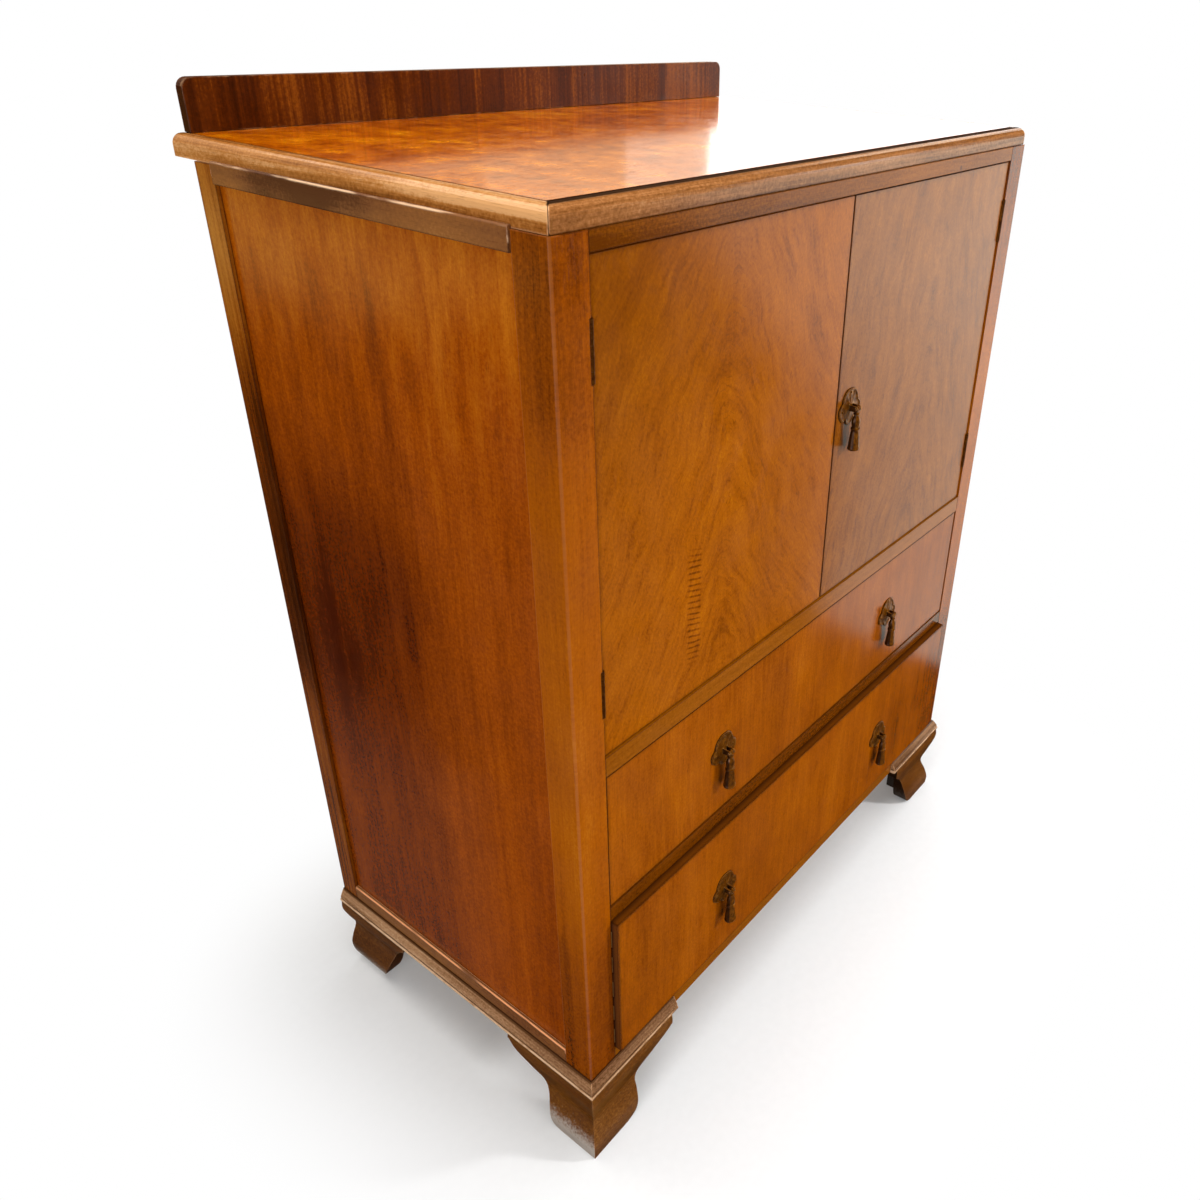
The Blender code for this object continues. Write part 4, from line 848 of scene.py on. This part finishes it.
def plate_shape(pivot, back):
    """A cast plate: a raised rim round a dished field, a boss, three pins, and the fork with its pin."""
    outline = shield()
    # (share of the outline, height above the back)
    relief = (
        (0.995, 0.0), (1.0, 0.0002), (1.0, 0.0008), (0.975, 0.0013), (0.93, 0.0016), (0.89, 0.0013),
        (0.85, 0.0009), (0.70, 0.0010), (0.52, 0.0013), (0.36, 0.0018), (0.20, 0.0026), (0.06, 0.0029),
    )
    # (distance along the axis, radius)
    nail = ((0, 0.0014), (0.0006, 0.0014), (0.0012, 0.0010), (0.0015, 0.0003))
    reach = FORK_GAP + LUG_THICKNESS
    head = (
        (reach - 0.0002, PIN_HEAD_RADIUS * 0.8), (reach + 0.0003, PIN_HEAD_RADIUS),
        (reach + 0.0011, PIN_HEAD_RADIUS * 0.92), (reach + 0.0018, PIN_HEAD_RADIUS * 0.55),
        (reach + 0.0019, 0.0002),
    )
    pin = [(-along, radius) for along, radius in reversed(head)]
    pin += [(-reach + 0.0001, PIN_RADIUS), (reach - 0.0003, PIN_RADIUS), *head]

    def build(shape):
        rings = []
        for share, height in relief:
            ring = []
            for point in outline:
                turn = math.atan2(point.x, point.y)
                flute = 0.00022 * math.cos(turn * 11) * max(0.0, math.cos(turn)) * (0.36 <= share <= 0.85)
                ring.append((pivot.x + point.x * share, back - height - flute, pivot.z + point.y * share))
            rings.append(ring)
        loft(shape, rings)
        for x, z in ((0.0, 0.80), (0.72, -0.12), (-0.72, -0.12)):
            place = (pivot.x + x * PLATE_WIDTH / 2, back - 0.0006, pivot.z + z * PLATE_HEIGHT / 2)
            turned(shape, place, (0, -1, 0), nail, 14)
        for sign in (-1, 1):
            near = pivot.x + sign * FORK_GAP
            lug(shape, sorted((near, near + sign * LUG_THICKNESS)), back - 0.0008, pivot.y, pivot.z)
        turned(shape, pivot, (1, 0, 0), pin, 20)
    return build


def lug(shape, span, root, tip, height):
    """One side of the fork: wide where it leaves the plate and round about the pin."""
    side = [
        (root, height + LUG_RADIUS * 1.5),
        (root - 0.0018, height + LUG_RADIUS * 1.12),
        (tip, height + LUG_RADIUS),
    ]
    turns = [math.radians(degrees) for degrees in range(20, 180, 20)]
    nose = [(tip - LUG_RADIUS * math.sin(turn), height + LUG_RADIUS * math.cos(turn)) for turn in turns]
    outline = [*side, *nose, *[(y, 2 * height - z) for y, z in reversed(side)]]
    rings = []
    soft = 0.0003
    for x, inset in ((span[0], soft), (span[0] + soft, 0.0), (span[1] - soft, 0.0), (span[1], soft)):
        ring = []
        for y, z in outline:
            toward = Vector(((root + tip) / 2 - y, height - z)).normalized() * inset
            ring.append((x, y + toward.x, z + toward.y))
        rings.append(ring)
    loft(shape, rings)


def drop_shape(pivot):
    """A cast drop: an eye, a reeded vase over a collar, and a reeded bell below it."""
    # (distance below the pin as a share of the length, radius, depth of the reeds)
    profile = smooth_curve([
        (0.052, 0.0016, 0), (0.085, 0.0020, 0), (0.100, 0.0034, 0), (0.118, 0.0036, 0), (0.135, 0.0026, 0),
        (0.165, 0.0030, 0.0001), (0.23, 0.0044, 0.0003), (0.31, 0.0049, 0.00035), (0.38, 0.0045, 0.0003),
        (0.425, 0.0040, 0.0001), (0.440, 0.0050, 0), (0.458, 0.0053, 0), (0.476, 0.0049, 0),
        (0.490, 0.0044, 0.0001), (0.56, 0.0049, 0.0003), (0.70, 0.0056, 0.0004), (0.83, 0.0062, 0.0004),
        (0.885, 0.0064, 0.0002), (0.900, 0.0067, 0), (0.925, 0.0068, 0), (0.948, 0.0064, 0),
        (0.962, 0.0045, 0), (0.970, 0.0030, 0), (0.985, 0.0026, 0), (0.997, 0.0012, 0),
    ], 2)
    steps, reeds = 48, 12

    def build(shape):
        rings = []
        for share, radius, reed in profile:
            ring = []
            for number in range(steps):
                turn = 2 * math.pi * number / steps
                reach = radius * DROP_FULLNESS - reed * (0.5 - 0.5 * math.cos(turn * reeds))
                x, y = math.sin(turn) * reach, math.cos(turn) * reach * DROP_FLATNESS
                ring.append((pivot.x + x, pivot.y + y, pivot.z - share * DROP_LENGTH))
            rings.append(ring)
        loft(shape, rings)
        eye_ring(shape, pivot)
    return build


def eye_ring(shape, pivot):
    """The ring that holds the drop on its pin."""
    middle, half, depth = EYE_RING
    section = [(math.cos(a) * half, math.sin(a) * depth) for a in (math.pi * n / 5 for n in range(10))]
    steps = 28
    rings = []
    for number in range(steps):
        turn = 2 * math.pi * number / steps
        y, z = math.sin(turn), math.cos(turn)
        rings.append([
            (pivot.x + across, pivot.y + y * (middle + out), pivot.z + z * (middle + out))
            for out, across in section
        ])
    loft(shape, [*rings, rings[0]], capped=False)


def handles(brass):
    for name, body in HANDLES.items():
        low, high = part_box(f"{name}_plate")
        pivot = Vector(((low.x + high.x) / 2, high.y + SEAT - PIVOT_OUT, (low.z + high.z) / 2))
        mesh_piece(f"{name}_cast_plate", plate_shape(pivot, high.y), brass, body, f"{name}_plate")
        mesh_piece(f"{name}_cast_drop", drop_shape(pivot), brass, f"{name}_drop", f"{name}_drop")


def screws(brass):
    """Three countersunk screws in each leaf of the hinges."""
    for side, sign in zip(SIDES, (-1, 1)):
        for end in ("upper", "lower"):
            for part, body, facing in (("frame", "carcass", -sign), ("door", f"{side}_door", sign)):
                leaf = f"{side}_{end}_hinge_{part}_leaf"
                low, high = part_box(leaf)
                plane = flat_face(leaf, facing)
                build = screw_row(plane, facing, high.y - SCREW_INSET, (low.z + high.z) / 2)
                mesh_piece(f"{leaf}_screws", build, brass, body)


def flat_face(leaf, facing):
    """x of the leaf's flat face, read from its corners furthest from the pin."""
    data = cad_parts[leaf].data
    rear = max(vert.co.y for vert in data.vertices) - 0.002
    places = [vert.co.x for vert in data.vertices if vert.co.y > rear]
    return max(places) if facing > 0 else min(places)


def screw_row(plane, facing, y, middle):
    head = ((-0.0003, 0.0028), (0.00005, 0.0028), (0.00012, 0.0024), (0.00014, 0.0006))

    def build(shape):
        for number in (-1, 0, 1):
            place = (plane, y + SCREW_STAGGER * abs(number), middle + number * SCREW_PITCH)
            turned(shape, place, (facing, 0, 0), head, 20)
    return build


def metals():
    antique = ((74, 36, 0), (126, 70, 2), (172, 106, 24))
    dull = ((84, 40, 0), (108, 58, 2), (134, 80, 12))
    bright = ((96, 76, 36), (140, 112, 58), (178, 146, 84))
    cast = metal("antique_brass", antique, rubbed=0.7, metallic=0.5, tarnished=0.85)
    leaf = metal("hinge_brass", dull, rubbed=0.05, metallic=0.8, shine=0.6)
    screw = metal("screw_brass", bright, metallic=0.8)
    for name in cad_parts:
        if "handle" in name:
            dress(cast, name)
        if "hinge" in name:
            dress(leaf, name)
    handles(cast)
    screws(screw)


def soften_edges():
    """Gives the flat wooden nodes the small rounded arris that finished wood has."""
    for name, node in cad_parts.items():
        if any(word in name for word in ("handle", "hinge", "moulding", "foot")):
            continue
        weld = node.modifiers.new("weld", "WELD")
        weld.merge_threshold = 0.00002
        bevel = node.modifiers.new("arris", "BEVEL")
        bevel.width = ARRIS
        bevel.segments = 2
        bevel.limit_method = "ANGLE"
        bevel.angle_limit = math.radians(35)


def floor_material():
    """A pale floor that keeps the shadow near the object and turns white further out."""
    shader = Shader("floor_paper")
    place = shader.axes()
    x, y = place["X"], place["Y"]
    tooth = shader.cloud((x, y, 0.0), (90, 90, 1), 3)
    paper = shader.ramp(tooth, (0.3, (0.83, 0.86, 0.90, 1)), (0.7, (0.85, 0.88, 0.92, 1)))
    diffuse = shader.add("BsdfDiffuse", {"Color": paper}).outputs[0]
    lit = shader.add("AddShader", {0: diffuse, 1: shader.light(PURE_WHITE, 0.03)}).outputs[0]
    beyond = []
    for way, centre, half in SHADOW_AREA:
        from_centre = shader.math("ABSOLUTE", shader.math("SUBTRACT", place[way], centre))
        beyond.append(shader.math("MAXIMUM", shader.math("SUBTRACT", from_centre, half), 0.0))
    away = shader.math("SQRT", shader.total(*[(shader.times(way, way), 1) for way in beyond]))
    seen = shader.blend(shader.step(away, 0.0, 0.30, 0.10, 1.0), lit, shader.light(PURE_WHITE, 1.0))
    return shader.show(shader.by_ray(diffuse, mirrored_room(shader, x, y), seen))


def mirrored_room(shader, x, y):
    """What the polish mirrors: a pale room to the right and in front, and two strips of it on the left."""
    near_line = shader.total((x, -0.58), (1.0, -0.216))
    far_line = shader.total((x, -1.03), (1.0, 0.604))
    above = shader.math("SUBTRACT", y, shader.math("MINIMUM", near_line, far_line))
    further = shader.step(x, 0.9, 4.5, 0.85, 1.5)
    right = shader.times(shader.step(x, 0.75, 0.80), shader.step(above, -0.04, 0.05), further)
    strip = shader.times(shader.hill(x, -3.4, -2.42, 0.12), shader.step(y, 2.3, 3.3), 0.9)
    past_line = shader.total((x, 1.39), (y, 1), (1.0, 0.645))
    beside = shader.times(shader.hill(x, -0.71, -0.44, 0.06), shader.step(past_line, -0.12, 0.10), 0.07)
    strength = shader.total((right, 1), (strip, 1), (beside, 1), (1.0, 0.006))
    tint = shader.mix(shader.step(x, -1.6, -1.2), (1.0, 0.72, 0.22, 1), (0.88, 1.0, 0.93, 1))
    return shader.light(tint, strength)


def studio():
    mesh = bpy.data.meshes.new("floor")
    corners = [(x * FLOOR_REACH, y * FLOOR_REACH, 0) for x, y in ((-1, -1), (1, -1), (1, 1), (-1, 1))]
    mesh.from_pydata(corners, [], [(0, 1, 2, 3)])
    mesh.materials.append(floor_material())
    floor = placed("floor", mesh)

    world = bpy.data.worlds.new("studio")
    bpy.context.scene.world = world
    shader = Shader("", world)
    fill = shader.light((1.0, 0.985, 0.96, 1), 0.13, "Background")
    dim = shader.light((1.0, 0.50, 0.15, 1), 0.05, "Background")
    white = shader.light(PURE_WHITE, 1.0, "Background")
    shader.show(shader.by_ray(fill, dim, white), "OutputWorld")
    for settings in LAMPS:
        lamp(*settings)


def lamp(name, place, aim, size, power, colour, glossy):
    data = bpy.data.lights.new(name, "AREA")
    data.shape = "RECTANGLE"
    data.size, data.size_y = size
    data.energy = power
    data.color = colour
    light = placed(name, data)
    light.location = place
    light.rotation_euler = (Vector(aim) - Vector(place)).to_track_quat("-Z", "Y").to_euler()
    light.visible_camera = False
    light.visible_glossy = glossy


def camera():
    data = bpy.data.cameras.new("camera")
    data.sensor_width = 36
    data.lens = CAMERA_LENS
    data.shift_x, data.shift_y = CAMERA_SHIFT
    data.clip_end = 100
    view = placed("camera", data)
    view.location = CAMERA_PLACE
    view.rotation_euler = Euler([math.radians(angle) for angle in CAMERA_TURN])
    bpy.context.scene.camera = view


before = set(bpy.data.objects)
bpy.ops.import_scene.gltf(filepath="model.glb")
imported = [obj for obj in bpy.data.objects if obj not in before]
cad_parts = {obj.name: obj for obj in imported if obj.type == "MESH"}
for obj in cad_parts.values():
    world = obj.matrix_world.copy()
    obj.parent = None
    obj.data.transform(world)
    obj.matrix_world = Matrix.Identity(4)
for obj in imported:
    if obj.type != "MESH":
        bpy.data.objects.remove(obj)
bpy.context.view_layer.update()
bpy.context.scene.view_settings.view_transform = "Standard"
camera()
studio()
woods()
metals()
soften_edges()
bpy.context.view_layer.update()
